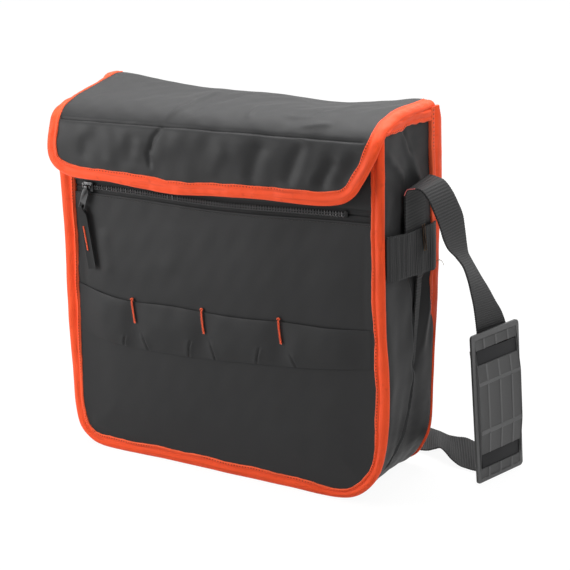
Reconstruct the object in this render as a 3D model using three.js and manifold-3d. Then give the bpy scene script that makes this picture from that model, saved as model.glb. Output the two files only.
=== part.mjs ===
// A soft tool bag with a fold-over flap, a zipped front pocket, a band of tool loops
// and a webbing shoulder strap with a moulded pad. Millimetres, +Z up, front faces -Y,
// +X is the wearer's right. The bag stands on its base at z = 0.
import * as THREE from 'three';
import { mergeVertices } from 'three/addons/utils/BufferGeometryUtils.js';
import Module from 'manifold-3d';

const wasm = await Module();
wasm.setup();

// Body of the bag
const bagWidth = 330;
const bagDepth = 100;
const bodyHeight = 321;
const frontDrop = 3;
const cornerRadius = 28;
const gussetThickness = 3;
const backThickness = 3.5;
const frontWallThickness = 1.8;
const pocketClothThickness = 1.2;
const pocketSlack = 1.5;
const frontRecess = 1;
const pleatDepth = 2.8;
const pleatHalfWidth = 42;
const pleatFade = 70;
const baseBoardThickness = 2;
const baseBoardMargin = 13;
const baseBoardInset = 2;
const seatGap = 0.3;
const joinOverlap = 0.2;

// Folded edge tape
const bindingWidth = 12;
const bindingThickness = 5;
const hemHeight = 12.5;
const hemThickness = 4;
const hemProud = 1;

// Flap
const flapThickness = 4;
const flapInset = 1;
const flapStandOff = 10;
const flapFoldRadius = 16;
const lipSeamHeight = 309;
const lipBottomHeight = 253;
const lipCornerRadius = 26;
const flapRise = 4;

// Zipped pocket mouth
const zipHeight = 249;
const zipOpening = 11;
const zipTapeWidth = 14;
const zipTapeThickness = 0.6;
const coilThickness = 1.4;
const coilWidth = 2.6;
const coilPitch = 5;
const coilTooth = 0.7;
const zipLeftInset = 37;
const zipRightInset = 38;
const zipStopLength = 3;

// Zip slider and its pull
const sliderLength = 10;
const sliderWidth = 8.5;
const sliderPlate = 1.6;
const sliderPostPlace = 3.6;
const sliderPostWidth = 1.4;
const sliderPostHeight = 2.4;
const pullAxisStandOff = 2.1;
const pullBarRadius = 0.8;
const pullBore = 1.15;
const knuckleWall = 0.85;
const knuckleLength = 3.6;
const ribbonBore = 1.75;
const ribbonLoopWidth = 3;
const pullTabLength = 21;
const pullTabWidth = 7;
const pullTabThickness = 1.2;
const pullTabLean = 20;
const pullTabSide = 0.9;
const pullTabSlot = 3.4;
const pullTabCrossbar = 1.5;
const ribbonLength = 56;
const ribbonWidth = 10;
const ribbonThickness = 1.6;
const ribbonLean = -12;
const ribbonStitchLength = 22;
const ribbonStitchWidth = 1.2;
const ribbonStitchThickness = 0.7;
const ribbonStitchFoot = 32;

// Tool loops
const bandHeight = 44;
const bandThickness = 1.3;
const bandStandOff = 6.5;
const bandShoulder = 9;
const bandTopLine = [[-152, 161], [-112, 151], [-40, 149.5], [50, 151.5], [152, 163.5]];
const bandBartacks = [-87, -12, 65.5];
const bartackHeight = 23;
const bartackWidth = 2.2;
const bartackThickness = 0.8;
const bartackRise = 2;
const bartackLean = 1;

// Webbing
const webbingWidth = 38;
const webbingThickness = 1.6;
const strapCentreY = 2;
const sideWebbingFrontHeight = 214.6;
const sideWebbingDrop = 9.3;
const webbingRamp = 18;
const sideBartackFront = 12;
const sideBartackBack = 18;
const sideBartackTop = 222;
const strapTailBottom = 108;
const strapExitHeight = 226;

// Shoulder pad, standing on the floor beside the bag
const padWidth = 56;
const padHeight = 130;
const padThickness = 3;
const padCornerRadius = 3;
const padRidge = 1;
const padBorder = 3.5;
const padRibWidth = 2;
const padRibPlaces = [-14, 0, 14];
const padBandPlaces = [0.34, 0.68];
const padBandWidth = 4;
const padWindowWidth = 47;
const padWindowHeight = 13;
const padWindowMargin = 9;
const padBarThickness = 1.8;
const padPostWidth = 2.6;
const padBarInset = 1;
const padStrapGap = 0.6;
const padPlateOverlap = 0.5;
const padFoot = new THREE.Vector3(216.7, 66.5, 0.4);
const padTurn = -17.8;
const padLean = -4;

// Strap adjuster, on the straight run down the left side
const adjusterCentre = new THREE.Vector3(-190, 36, 162);
const adjusterTilt = 16;
const adjusterLength = 30;
const adjusterBar = 4;
const adjusterBarThickness = 2;
const adjusterRail = 3;
const adjusterSlack = 0.8;

// Hook and loop patches
const patchWidth = 60;
const patchHeight = 20;
const patchThickness = 1.4;
const patchSideInset = 43;
const patchBottom = 268;

const lerp = THREE.MathUtils.lerp;
const radians = THREE.MathUtils.degToRad;
const smooth = THREE.MathUtils.smoothstep;

// Places worked out from the sizes
const halfWidth = bagWidth / 2;
const halfDepth = bagDepth / 2;
const panelHalf = halfWidth - bindingWidth - seatGap;
const panelRadius = cornerRadius - bindingWidth - seatGap;
const gussetHalfDepth = halfDepth - bindingThickness - seatGap;
const frontFace = -halfDepth + frontRecess;
const pocketBack = frontFace + pocketClothThickness;
const wallFace = pocketBack + pocketSlack;
const hemBottom = bodyHeight - hemHeight;
const frontHeight = bodyHeight - frontDrop;
const flapUnder = bodyHeight + seatGap;
const flapProud = (bindingThickness - flapThickness) / 2;
const flapTop = flapUnder + flapProud + flapThickness;
const lipFace = -halfDepth - flapStandOff;
const zipLeftEnd = -halfWidth + zipLeftInset;
const zipRightEnd = halfWidth - zipRightInset;
const flapHalf = halfWidth - flapInset;
const flapPanelHalf = flapHalf - bindingWidth - seatGap;
const strapSeat = halfWidth - pleatInward(webbingWidth / 2 + strapCentreY, bodyHeight / 2) + seatGap;
const strapFace = strapSeat + webbingThickness;
const pullAxisY = frontFace - seatGap - sliderPlate - pullAxisStandOff;
const frameShift = (flapStandOff + flapProud) / 2;

const cloth = { color: 0x2f3031, roughness: 0.85, metalness: 0 };
const tape = { color: 0xe8502a, roughness: 0.75, metalness: 0 };
const thread = { color: 0xe8592f, roughness: 0.7, metalness: 0 };
const webbing = { color: 0x262728, roughness: 0.8, metalness: 0 };
const zipNylon = { color: 0x1b1c1d, roughness: 0.55, metalness: 0 };
const zipMetal = { color: 0x4a4c50, roughness: 0.35, metalness: 0.9 };
const padRubber = { color: 0x4b4d4e, roughness: 0.6, metalness: 0 };
const board = { color: 0x3a3a3a, roughness: 0.7, metalness: 0 };

/** How far the gusset is folded in at depth y and height z. */
function pleatInward(y, z) {
  const across = (y - strapCentreY) / pleatHalfWidth;
  if (Math.abs(across) >= 1) return 0;
  const wave = Math.cos(across * Math.PI / 2) ** 2;
  return pleatDepth * wave * smooth(z, cornerRadius / 2, cornerRadius / 2 + pleatFade);
}

/** How far the flap swells upward, most on its left half. */
function flapSwell(x, y) {
  const side = 1 - smooth(x, -flapHalf * 0.85, flapHalf * 0.3);
  const along = Math.sin(THREE.MathUtils.clamp((halfDepth - y) / bagDepth, 0, 1) * Math.PI);
  return flapRise * side * along;
}

/** Turns the faces round if the body is inside out. */
function faceOutward(geometry) {
  const merged = geometry.index ? geometry : mergeVertices(geometry);
  const spot = merged.attributes.position;
  const order = merged.index.array;
  const [a, b, c] = [new THREE.Vector3(), new THREE.Vector3(), new THREE.Vector3()];
  let volume = 0;
  for (let i = 0; i < order.length; i += 3) {
    a.fromBufferAttribute(spot, order[i]);
    b.fromBufferAttribute(spot, order[i + 1]);
    c.fromBufferAttribute(spot, order[i + 2]);
    volume += a.dot(b.cross(c));
  }
  if (volume < 0) {
    for (let i = 0; i < order.length; i += 3) [order[i], order[i + 1]] = [order[i + 1], order[i]];
  }
  merged.computeVertexNormals();
  return merged;
}

/** Turns the diagonals of a box's far side, so that they run as those of its near side do. */
function matchDiagonals(geometry) {
  const { start, count } = geometry.groups.at(-1);
  for (let i = start; i < start + count; i += 6) {
    const [a, b, d] = [0, 1, 2].map((step) => geometry.index.getX(i + step));
    const c = geometry.index.getX(i + 4);
    [a, b, c, a, c, d].forEach((corner, step) => geometry.index.setX(i + step, corner));
  }
}

/** A closed slab of cloth: a segmented box whose points, from 0 to 1, are moved by place. */
function slab(columns, rows, place) {
  const geometry = new THREE.BoxGeometry(1, 1, 1, columns, rows, 1);
  matchDiagonals(geometry);
  const spot = geometry.attributes.position;
  for (let i = 0; i < spot.count; i += 1) {
    const point = place(spot.getX(i) + 0.5, spot.getY(i) + 0.5, spot.getZ(i) + 0.5);
    spot.setXYZ(i, point.x, point.y, point.z);
  }
  return faceOutward(geometry);
}

/** A flat plate standing in the XZ plane, its outline given in x and z, between two depths. */
function plate(shape, front, thickness, arcSteps = 8) {
  const options = { depth: thickness, bevelEnabled: false, curveSegments: arcSteps };
  const geometry = new THREE.ExtrudeGeometry(shape, options);
  geometry.rotateX(Math.PI / 2);
  geometry.translate(0, front + thickness, 0);
  return geometry;
}

/** A box given by its two corners. */
function block(low, high) {
  const geometry = new THREE.BoxGeometry(high[0] - low[0], high[1] - low[1], high[2] - low[2]);
  geometry.translate((low[0] + high[0]) / 2, (low[1] + high[1]) / 2, (low[2] + high[2]) / 2);
  return geometry;
}

/** A solid for joining and cutting. */
function solid(geometry) {
  const bare = geometry.clone();
  bare.deleteAttribute('normal');
  bare.deleteAttribute('uv');
  const merged = mergeVertices(bare, 1e-4);
  const vertProperties = new Float32Array(merged.attributes.position.array);
  const triVerts = new Uint32Array(merged.index.array);
  return new wasm.Manifold(new wasm.Mesh({ numProp: 3, vertProperties, triVerts }));
}

/** The geometry of a joined or cut solid. */
function skin(manifold) {
  const mesh = manifold.getMesh();
  const geometry = new THREE.BufferGeometry();
  geometry.setAttribute('position', new THREE.BufferAttribute(mesh.vertProperties, 3));
  geometry.setIndex(new THREE.BufferAttribute(mesh.triVerts, 1));
  geometry.computeVertexNormals();
  return geometry;
}

function joined(...geometries) {
  return skin(geometries.map(solid).reduce((sum, part) => sum.add(part)));
}

/** An outline with square top corners and round bottom corners. */
function panelShape(half, bottom, top, radius) {
  const shape = new THREE.Shape();
  shape.moveTo(half, top);
  shape.lineTo(-half, top);
  shape.lineTo(-half, bottom + radius);
  shape.absarc(-half + radius, bottom + radius, radius, Math.PI, Math.PI * 1.5);
  shape.lineTo(half - radius, bottom);
  shape.absarc(half - radius, bottom + radius, radius, Math.PI * 1.5, Math.PI * 2);
  shape.lineTo(half, top);
  return shape;
}

/** Stations down the left side, round the bottom and up the right, with the inward direction. */
function uStations(half, bottom, top, radius, sideSteps, arcSteps, baseSteps) {
  const stations = [];
  for (let i = 0; i < sideSteps; i += 1) {
    stations.push({ x: -half, z: lerp(top, bottom + radius, i / sideSteps), nx: 1, nz: 0 });
  }
  for (let i = 0; i <= arcSteps; i += 1) {
    const angle = Math.PI * (1 + i / arcSteps / 2);
    const [nx, nz] = [-Math.cos(angle), -Math.sin(angle)];
    stations.push({ x: -half + radius - radius * nx, z: bottom + radius - radius * nz, nx, nz });
  }
  for (let i = 1; i < baseSteps; i += 1) {
    const x = lerp(-half + radius, half - radius, i / baseSteps);
    stations.push({ x, z: bottom, nx: 0, nz: 1 });
  }
  const mirrored = stations.slice(0, sideSteps + arcSteps + 1).reverse();
  mirrored.forEach(({ x, z, nx, nz }) => stations.push({ x: -x, z, nx: -nx, nz }));
  return stations;
}

/** A tape that follows a U of stations, its width running inward and its thickness along Y. */
function uTape(stations, width, front, thickness) {
  const last = stations.length - 1;
  return slab(last, 1, (u, v, t) => {
    const { x, z, nx, nz } = stations[Math.round(u * last)];
    return { x: x + nx * v * width, y: front + t * thickness, z: z + nz * v * width };
  });
}

/** A bar between two points with a flat section: its length, its width and its thickness. */
function bartack(from, to, width, outward, widthAxis) {
  return slab(1, 1, (u, v, t) => new THREE.Vector3().lerpVectors(from, to, u)
    .addScaledVector(widthAxis, (v - 0.5) * width)
    .addScaledVector(outward, t * bartackThickness));
}

const bag = new THREE.Group();
bag.position.y = frameShift;

function add(name, geometry, finish, parent = bag) {
  const mesh = new THREE.Mesh(geometry, new THREE.MeshStandardMaterial(finish));
  mesh.name = name;
  parent.add(mesh);
  return mesh;
}

function addFront() {
  const mouthLow = zipHeight - zipOpening / 2;
  const mouthHigh = zipHeight + zipOpening / 2;
  const bottom = bindingWidth + seatGap;
  const top = frontHeight - hemHeight - seatGap;
  add('front_wall', plate(panelShape(panelHalf, bottom, top, panelRadius), wallFace,
    frontWallThickness), cloth);
  add('pocket_panel', plate(panelShape(panelHalf, bottom, mouthLow, panelRadius), frontFace,
    pocketClothThickness), cloth);
  add('pocket_top_strip', block([-panelHalf, frontFace, mouthHigh],
    [panelHalf, pocketBack, top]), cloth);
  add('front_top_hem', block([-panelHalf, frontFace - hemProud / 2, frontHeight - hemHeight],
    [panelHalf, wallFace + frontWallThickness, frontHeight]), tape);
  const edge = uStations(halfWidth, 0, frontHeight, cornerRadius, 1, 8, 1);
  add('front_binding', uTape(edge, bindingWidth, -halfDepth, bindingThickness), tape);
}

/** Half of the closed coil: a bar whose meeting edge is a row of teeth. */
function coilShape(side) {
  const shape = new THREE.Shape();
  const teeth = Math.round((zipRightEnd - zipLeftEnd) / coilPitch);
  const pitch = (zipRightEnd - zipLeftEnd) / teeth;
  const clear = seatGap * side;
  shape.moveTo(zipLeftEnd, side * coilWidth);
  for (let i = 0; i <= teeth * 2; i += 1) {
    shape.lineTo(zipLeftEnd + i * pitch / 2, clear + (i % 2 ? coilTooth : -coilTooth) / 2);
  }
  shape.lineTo(zipRightEnd, side * coilWidth);
  return shape;
}

function addZip() {
  const tapeFace = pocketBack + seatGap;
  const coilFace = tapeFace - seatGap - coilThickness;
  const halves = [['upper', 1], ['lower', -1]];
  halves.forEach(([place, side]) => {
    const inner = zipHeight + side * (coilWidth / 4);
    const outer = inner + side * zipTapeWidth;
    add(`zip_tape_${place}`, block([-panelHalf, tapeFace, Math.min(inner, outer)],
      [panelHalf, tapeFace + zipTapeThickness, Math.max(inner, outer)]), zipNylon);
    const coil = add(`zip_coil_${place}`, plate(coilShape(side), coilFace, coilThickness, 1), zipNylon);
    coil.position.z = zipHeight;
  });
  const stops = [['left', zipLeftEnd - seatGap - zipStopLength], ['right', zipRightEnd + seatGap]];
  stops.forEach(([place, start]) => {
    add(`zip_stop_${place}`, block([start, coilFace, zipHeight - coilWidth],
      [start + zipStopLength, coilFace + coilThickness, zipHeight + coilWidth]), zipMetal);
  });
}

/** A ring whose bore runs along X. */
function knuckle(bore, length) {
  const outer = bore + knuckleWall;
  const profile = [[bore, 0], [outer, 0], [outer, length], [bore, length],
    [bore, 0]].map(([r, y]) => new THREE.Vector2(r, y - length / 2));
  const geometry = new THREE.LatheGeometry(profile, 14);
  geometry.rotateZ(Math.PI / 2);
  return geometry;
}

/** A round cutter along X. */
function boreCutter(radius) {
  const geometry = new THREE.CylinderGeometry(radius, radius, ribbonWidth * 2, 14);
  geometry.rotateZ(Math.PI / 2);
  return solid(geometry);
}

/** A strip that hangs from a knuckle and widens below its neck. */
function neckedShape(bore, neckHalf, half, length) {
  const neckEnd = -bore - knuckleWall - half;
  const top = -bore - knuckleWall / 4;
  return new THREE.Shape([[-neckHalf, top], [-half, neckEnd], [-half, -length],
    [half, -length], [half, neckEnd], [neckHalf, top]].map(([x, z]) => new THREE.Vector2(x, z)));
}

function addZipSlider() {
  const middle = zipLeftEnd + sliderLength / 2;
  const plateBack = frontFace - seatGap;
  const plateFront = plateBack - sliderPlate;
  const halfLength = sliderLength / 2;
  const halfHeight = sliderWidth / 2;
  const [postX, postZ] = [sliderPostWidth / 2, sliderPostHeight / 2];
  const posts = [-1, 1].map((side) => middle + side * sliderPostPlace).map((x) => block(
    [x - postX, pullAxisY - pullBarRadius, zipHeight - postZ],
    [x + postX, plateFront + joinOverlap, zipHeight + postZ]));
  const bar = new THREE.CylinderGeometry(pullBarRadius, pullBarRadius, sliderPostPlace * 2, 10);
  bar.rotateZ(Math.PI / 2);
  bar.translate(middle, pullAxisY, zipHeight);
  add('zip_slider', joined(block([middle - halfLength, plateFront, zipHeight - halfHeight],
    [middle + halfLength, plateBack, zipHeight + halfHeight]), ...posts, bar), zipMetal);

  const lean = radians(pullTabLean);
  const tabBlank = plate(neckedShape(pullBore, knuckleLength / 2, pullTabWidth / 2, pullTabLength),
    -pullTabThickness / 2, pullTabThickness);
  tabBlank.rotateY(lean);
  const slotHalf = pullTabWidth / 2 - pullTabSide;
  const slotFoot = -pullTabLength + pullTabCrossbar;
  const window = block([-slotHalf, -pullTabThickness, slotFoot],
    [slotHalf, pullTabThickness, slotFoot + pullTabSlot]);
  window.rotateY(lean);
  const tab = skin(solid(knuckle(pullBore, knuckleLength)).add(solid(tabBlank))
    .subtract(boreCutter(pullBore)).subtract(solid(window)));
  add('pull_tab', tab, zipMetal).position.set(middle, pullAxisY, zipHeight);

  const drop = pullTabLength - pullTabCrossbar / 2;
  const ringX = middle - Math.sin(lean) * drop;
  const ringZ = zipHeight - Math.cos(lean) * drop;
  const ribbonLeanAngle = radians(ribbonLean);
  const strip = plate(neckedShape(ribbonBore, ribbonLoopWidth / 2, ribbonWidth / 2, ribbonLength),
    -ribbonThickness / 2, ribbonThickness);
  strip.rotateY(ribbonLeanAngle);
  const ribbon = skin(solid(knuckle(ribbonBore, ribbonLoopWidth)).add(solid(strip))
    .subtract(boreCutter(ribbonBore)));
  add('pull_ribbon', ribbon, cloth).position.set(ringX, pullAxisY, ringZ);
  const stitchBack = -ribbonThickness / 2 - seatGap;
  const stitchHalf = ribbonStitchWidth / 2;
  const stitch = block([-stitchHalf, stitchBack - ribbonStitchThickness, -ribbonStitchFoot],
    [stitchHalf, stitchBack, -ribbonStitchFoot + ribbonStitchLength]);
  stitch.rotateY(ribbonLeanAngle);
  add('ribbon_stitch', stitch, thread).position.set(ringX, pullAxisY, ringZ);
}

function addToolBand() {
  const line = new THREE.SplineCurve(bandTopLine.map(([x, z]) => new THREE.Vector2(x, z)));
  const tops = line.getPoints(60);
  const topAt = (x) => {
    const next = Math.max(1, tops.findIndex((point) => point.x >= x));
    const [a, b] = [tops[next - 1], tops[next]];
    return lerp(a.y, b.y, THREE.MathUtils.clamp((x - a.x) / (b.x - a.x), 0, 1));
  };
  const seams = [-panelHalf, ...bandBartacks, panelHalf];
  const steps = [0, 0.5, 1];
  const stops = [{ x: -panelHalf, out: 0 }];
  for (let i = 1; i < seams.length; i += 1) {
    const [left, right] = [seams[i - 1], seams[i]];
    steps.forEach((k) => stops.push({
      x: lerp(left + bandShoulder, right - bandShoulder, k), out: bandStandOff,
    }));
    stops.push({ x: right - bartackWidth, out: 0 });
    if (right < panelHalf) stops.push({ x: right + bartackWidth, out: 0 });
  }
  stops[stops.length - 1].x = panelHalf;
  const last = stops.length - 1;
  const back = frontFace - seatGap;
  add('tool_loop_band', slab(last, 1, (u, v, t) => {
    const { x, out } = stops[Math.round(u * last)];
    return { x, y: back - out - t * bandThickness, z: topAt(x) - bandHeight * (1 - v) };
  }), cloth);
  const face = back - bandThickness - seatGap;
  ['left', 'middle', 'right'].forEach((place, i) => {
    const x = bandBartacks[i];
    const top = new THREE.Vector3(x, face, topAt(x) + bartackRise);
    const foot = new THREE.Vector3(x + bartackLean, face, top.z - bartackHeight);
    add(`loop_bartack_${place}`, bartack(foot, top, bartackWidth, new THREE.Vector3(0, -1, 0),
      new THREE.Vector3(1, 0, 0)), thread);
  });
}

function addGusset() {
  const top = hemBottom - seatGap;
  const stations = uStations(halfWidth, 0, top, cornerRadius, 10, 8, 4);
  const last = stations.length - 1;
  add('gusset', slab(last, 10, (u, v, t) => {
    const { x, z, nx, nz } = stations[Math.round(u * last)];
    const y = lerp(-gussetHalfDepth, gussetHalfDepth, v);
    const inward = t * gussetThickness + pleatInward(y, z) * Math.abs(nx);
    return { x: x + nx * inward, y, z: z + nz * inward };
  }), cloth);
  const boardSeat = gussetThickness + seatGap;
  add('base_board', block(
    [-panelHalf + baseBoardMargin, -gussetHalfDepth + baseBoardInset, boardSeat],
    [panelHalf - baseBoardMargin, gussetHalfDepth - baseBoardInset, boardSeat + baseBoardThickness],
  ), board);
}

function addBack() {
  const bottom = bindingWidth + seatGap;
  add('back_panel', plate(panelShape(panelHalf, bottom, bodyHeight, panelRadius),
    halfDepth - backThickness, backThickness), cloth);
  const edge = uStations(halfWidth, 0, bodyHeight, cornerRadius, 1, 8, 1);
  add('back_binding', uTape(edge, bindingWidth, halfDepth - bindingThickness,
    bindingThickness), tape);
}

/** Everything that each side of the bag carries. */
function addSide(name, side) {
  add(`gusset_hem_${name}`, slab(10, 1, (u, v, t) => {
    const y = lerp(-gussetHalfDepth, gussetHalfDepth, u);
    const outer = halfWidth - pleatInward(y, bodyHeight) + hemProud;
    return { x: side * (outer - t * hemThickness), y, z: lerp(hemBottom, bodyHeight, v) };
  }), tape);
  const halfWebbing = webbingWidth / 2;
  const overStrap = Math.max(strapFace, halfWidth) + seatGap;
  const steps = [-gussetHalfDepth, -gussetHalfDepth + webbingRamp, gussetHalfDepth - webbingRamp,
    gussetHalfDepth];
  add(`side_webbing_${name}`, slab(3, 1, (u, v, t) => {
    const y = steps[Math.round(u * 3)];
    const seat = Math.abs(y) === gussetHalfDepth ? halfWidth + seatGap : overStrap;
    const drop = sideWebbingDrop * (y + gussetHalfDepth) / (2 * gussetHalfDepth);
    return {
      x: side * (seat + t * webbingThickness),
      y,
      z: sideWebbingFrontHeight - drop + lerp(-halfWebbing, halfWebbing, v),
    };
  }), webbing);
  const face = side * (overStrap + webbingThickness + seatGap);
  const high = new THREE.Vector3(face, sideBartackFront, sideBartackTop);
  const low = new THREE.Vector3(face, sideBartackBack, sideBartackTop - bartackHeight);
  add(`side_bartack_${name}`, bartack(low, high, bartackWidth, new THREE.Vector3(side, 0, 0),
    new THREE.Vector3(0, 1, 0)), thread);
  const tail = [side * strapSeat, side * strapFace].sort((a, b) => a - b);
  add(`strap_tail_${name}`, block([tail[0], strapCentreY - halfWebbing, strapTailBottom],
    [tail[1], strapCentreY + halfWebbing, strapExitHeight]), webbing);
}

/** The flap in section, from the hinge forward, over the front edge and down to the seam. */
function flapPath() {
  const path = [];
  const flatSteps = 6;
  const arcSteps = 5;
  const foldY = lipFace + flapFoldRadius;
  for (let i = 0; i < flatSteps; i += 1) {
    path.push({ y: lerp(halfDepth, foldY, i / flatSteps), z: flapTop, ny: 0, nz: -1 });
  }
  for (let i = 0; i <= arcSteps; i += 1) {
    const angle = Math.PI / 2 * (1 + i / arcSteps);
    const [ny, nz] = [-Math.cos(angle), -Math.sin(angle)];
    path.push({ y: foldY - flapFoldRadius * ny, z: flapTop - flapFoldRadius - flapFoldRadius * nz, ny, nz });
  }
  path.push({ y: lipFace, z: lipSeamHeight + seatGap, ny: 1, nz: 0 });
  return path;
}

/** A sheet that follows the flap's section between two places across it. */
function flapSheet(left, right, columns, proud, thickness) {
  const path = flapPath();
  const last = path.length - 1;
  return slab(columns, last, (u, v, t) => {
    const x = lerp(left, right, u);
    const { y, z, ny, nz } = path[Math.round(v * last)];
    const depth = t * thickness - proud;
    return { x, y: y + ny * depth, z: z + nz * depth + flapSwell(x, y) };
  });
}

function addFlap() {
  add('flap_top', flapSheet(-flapPanelHalf, flapPanelHalf, 10, 0, flapThickness), cloth);
  const inner = flapHalf - bindingWidth;
  add('flap_binding_left', flapSheet(-flapHalf, -inner, 1, flapProud, bindingThickness), tape);
  add('flap_binding_right', flapSheet(inner, flapHalf, 1, flapProud, bindingThickness), tape);

  const lipTop = lipSeamHeight - seatGap;
  const lipInset = bindingWidth + seatGap;
  add('flap_lip', plate(panelShape(flapPanelHalf, lipBottomHeight + lipInset, lipTop,
    lipCornerRadius - lipInset), lipFace, flapThickness), cloth);
  const edge = uStations(flapHalf, lipBottomHeight, lipTop, lipCornerRadius, 1, 8, 1);
  add('lip_binding', uTape(edge, bindingWidth, lipFace - flapProud, bindingThickness), tape);

  const inside = lipFace + flapThickness + seatGap;
  const outside = frontFace - seatGap - patchThickness;
  [['left', -1], ['right', 1]].forEach(([name, side]) => {
    const place = side * (halfWidth - patchSideInset - patchWidth / 2);
    const [x0, x1] = [place - patchWidth / 2, place + patchWidth / 2];
    add(`flap_patch_${name}`, block([x0, inside, patchBottom],
      [x1, inside + patchThickness, patchBottom + patchHeight]), webbing);
    add(`front_patch_${name}`, block([x0, outside, patchBottom],
      [x1, outside + patchThickness, patchBottom + patchHeight]), webbing);
  });
}

/** The pad's own frame: X out of its face, Y across, Z along the strap. */
const padFrame = new THREE.Object3D();
padFrame.position.copy(padFoot);
padFrame.rotation.set(0, radians(padLean), radians(padTurn), 'ZYX');
padFrame.updateMatrix();

function padPlate(half, low, high, radius, thickness) {
  const shape = new THREE.Shape();
  shape.moveTo(-half + radius, low);
  shape.lineTo(half - radius, low);
  shape.absarc(half - radius, low + radius, radius, -Math.PI / 2, 0);
  shape.lineTo(half, high - radius);
  shape.absarc(half - radius, high - radius, radius, 0, Math.PI / 2);
  shape.lineTo(-half + radius, high);
  shape.absarc(-half + radius, high - radius, radius, Math.PI / 2, Math.PI);
  shape.lineTo(-half, low + radius);
  shape.absarc(-half + radius, low + radius, radius, Math.PI, Math.PI * 1.5);
  const options = { depth: thickness, bevelEnabled: false, curveSegments: 3 };
  const geometry = new THREE.ExtrudeGeometry(shape, options);
  geometry.rotateX(Math.PI / 2);
  geometry.rotateZ(Math.PI / 2);
  return geometry;
}

function addShoulderPad() {
  const half = padWidth / 2;
  const bite = padThickness - padPlateOverlap;
  let pad = solid(padPlate(half, 0, padHeight, padCornerRadius, padThickness));
  const rise = padThickness + padRidge;
  const border = solid(block([bite, -half, 0], [rise, half, padHeight]))
    .subtract(solid(block([0, -half + padBorder, padBorder],
      [rise * 2, half - padBorder, padHeight - padBorder])));
  const outline = solid(padPlate(half, 0, padHeight, padCornerRadius, rise));
  pad = pad.add(border.intersect(outline));
  padRibPlaces.forEach((y) => {
    pad = pad.add(solid(block([bite, y - padRibWidth / 2, padBorder / 2],
      [rise - joinOverlap, y + padRibWidth / 2, padHeight - padBorder / 2])));
  });
  padBandPlaces.forEach((share) => {
    const z = padHeight * share;
    pad = pad.add(solid(block([bite, -half + padBorder / 2, z - padBandWidth / 2],
      [rise - joinOverlap / 2, half - padBorder / 2, z + padBandWidth / 2])));
  });
  const windows = [padWindowMargin, padHeight - padWindowMargin - padWindowHeight];
  const halfWindow = padWindowWidth / 2;
  const barBack = -webbingThickness - 2 * padStrapGap - padBarThickness;
  windows.forEach((z) => {
    const [barLow, barHigh] = [z + padBarInset, z + padWindowHeight - padBarInset];
    pad = pad.subtract(solid(block([-rise, -halfWindow, z], [rise * 2, halfWindow, z + padWindowHeight])));
    pad = pad.add(solid(block([barBack, -halfWindow - padPostWidth, barLow],
      [barBack + padBarThickness, halfWindow + padPostWidth, barHigh])));
    [-1, 1].forEach((side) => {
      const y = [side * (halfWindow + seatGap), side * (halfWindow + padPostWidth)].sort((a, b) => a - b);
      pad = pad.add(solid(block([barBack + padBarThickness / 2, y[0], barLow],
        [padPlateOverlap, y[1], barHigh])));
    });
  });
  const holder = new THREE.Group();
  holder.position.copy(padFrame.position);
  holder.rotation.copy(padFrame.rotation);
  bag.add(holder);
  add('shoulder_pad', skin(pad), padRubber, holder);
}

/** The adjuster's own frame: X out of its face, Y across the strap, Z along it. */
const adjusterFrame = new THREE.Object3D();
adjusterFrame.position.copy(adjusterCentre);
adjusterFrame.rotation.set(radians(adjusterTilt), 0, 0);
adjusterFrame.updateMatrix();

function addAdjuster() {
  const inner = webbingWidth / 2 + adjusterSlack;
  const outer = inner + adjusterRail;
  const strapHalf = webbingThickness / 2 + seatGap;
  const back = strapHalf + adjusterBarThickness;
  const end = adjusterLength / 2;
  const bars = [
    block([strapHalf, -outer, -end], [back, outer, -end + adjusterBar]),
    block([strapHalf, -outer, end - adjusterBar], [back, outer, end]),
    block([-back, -outer, -adjusterBar / 2], [-strapHalf, outer, adjusterBar / 2]),
    block([-back, -outer, -end], [back, -inner, end]),
    block([-back, inner, -end], [back, outer, end]),
  ];
  const holder = new THREE.Group();
  holder.position.copy(adjusterFrame.position);
  holder.rotation.copy(adjusterFrame.rotation);
  bag.add(holder);
  add('strap_adjuster', joined(...bars), padRubber, holder);
}

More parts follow.
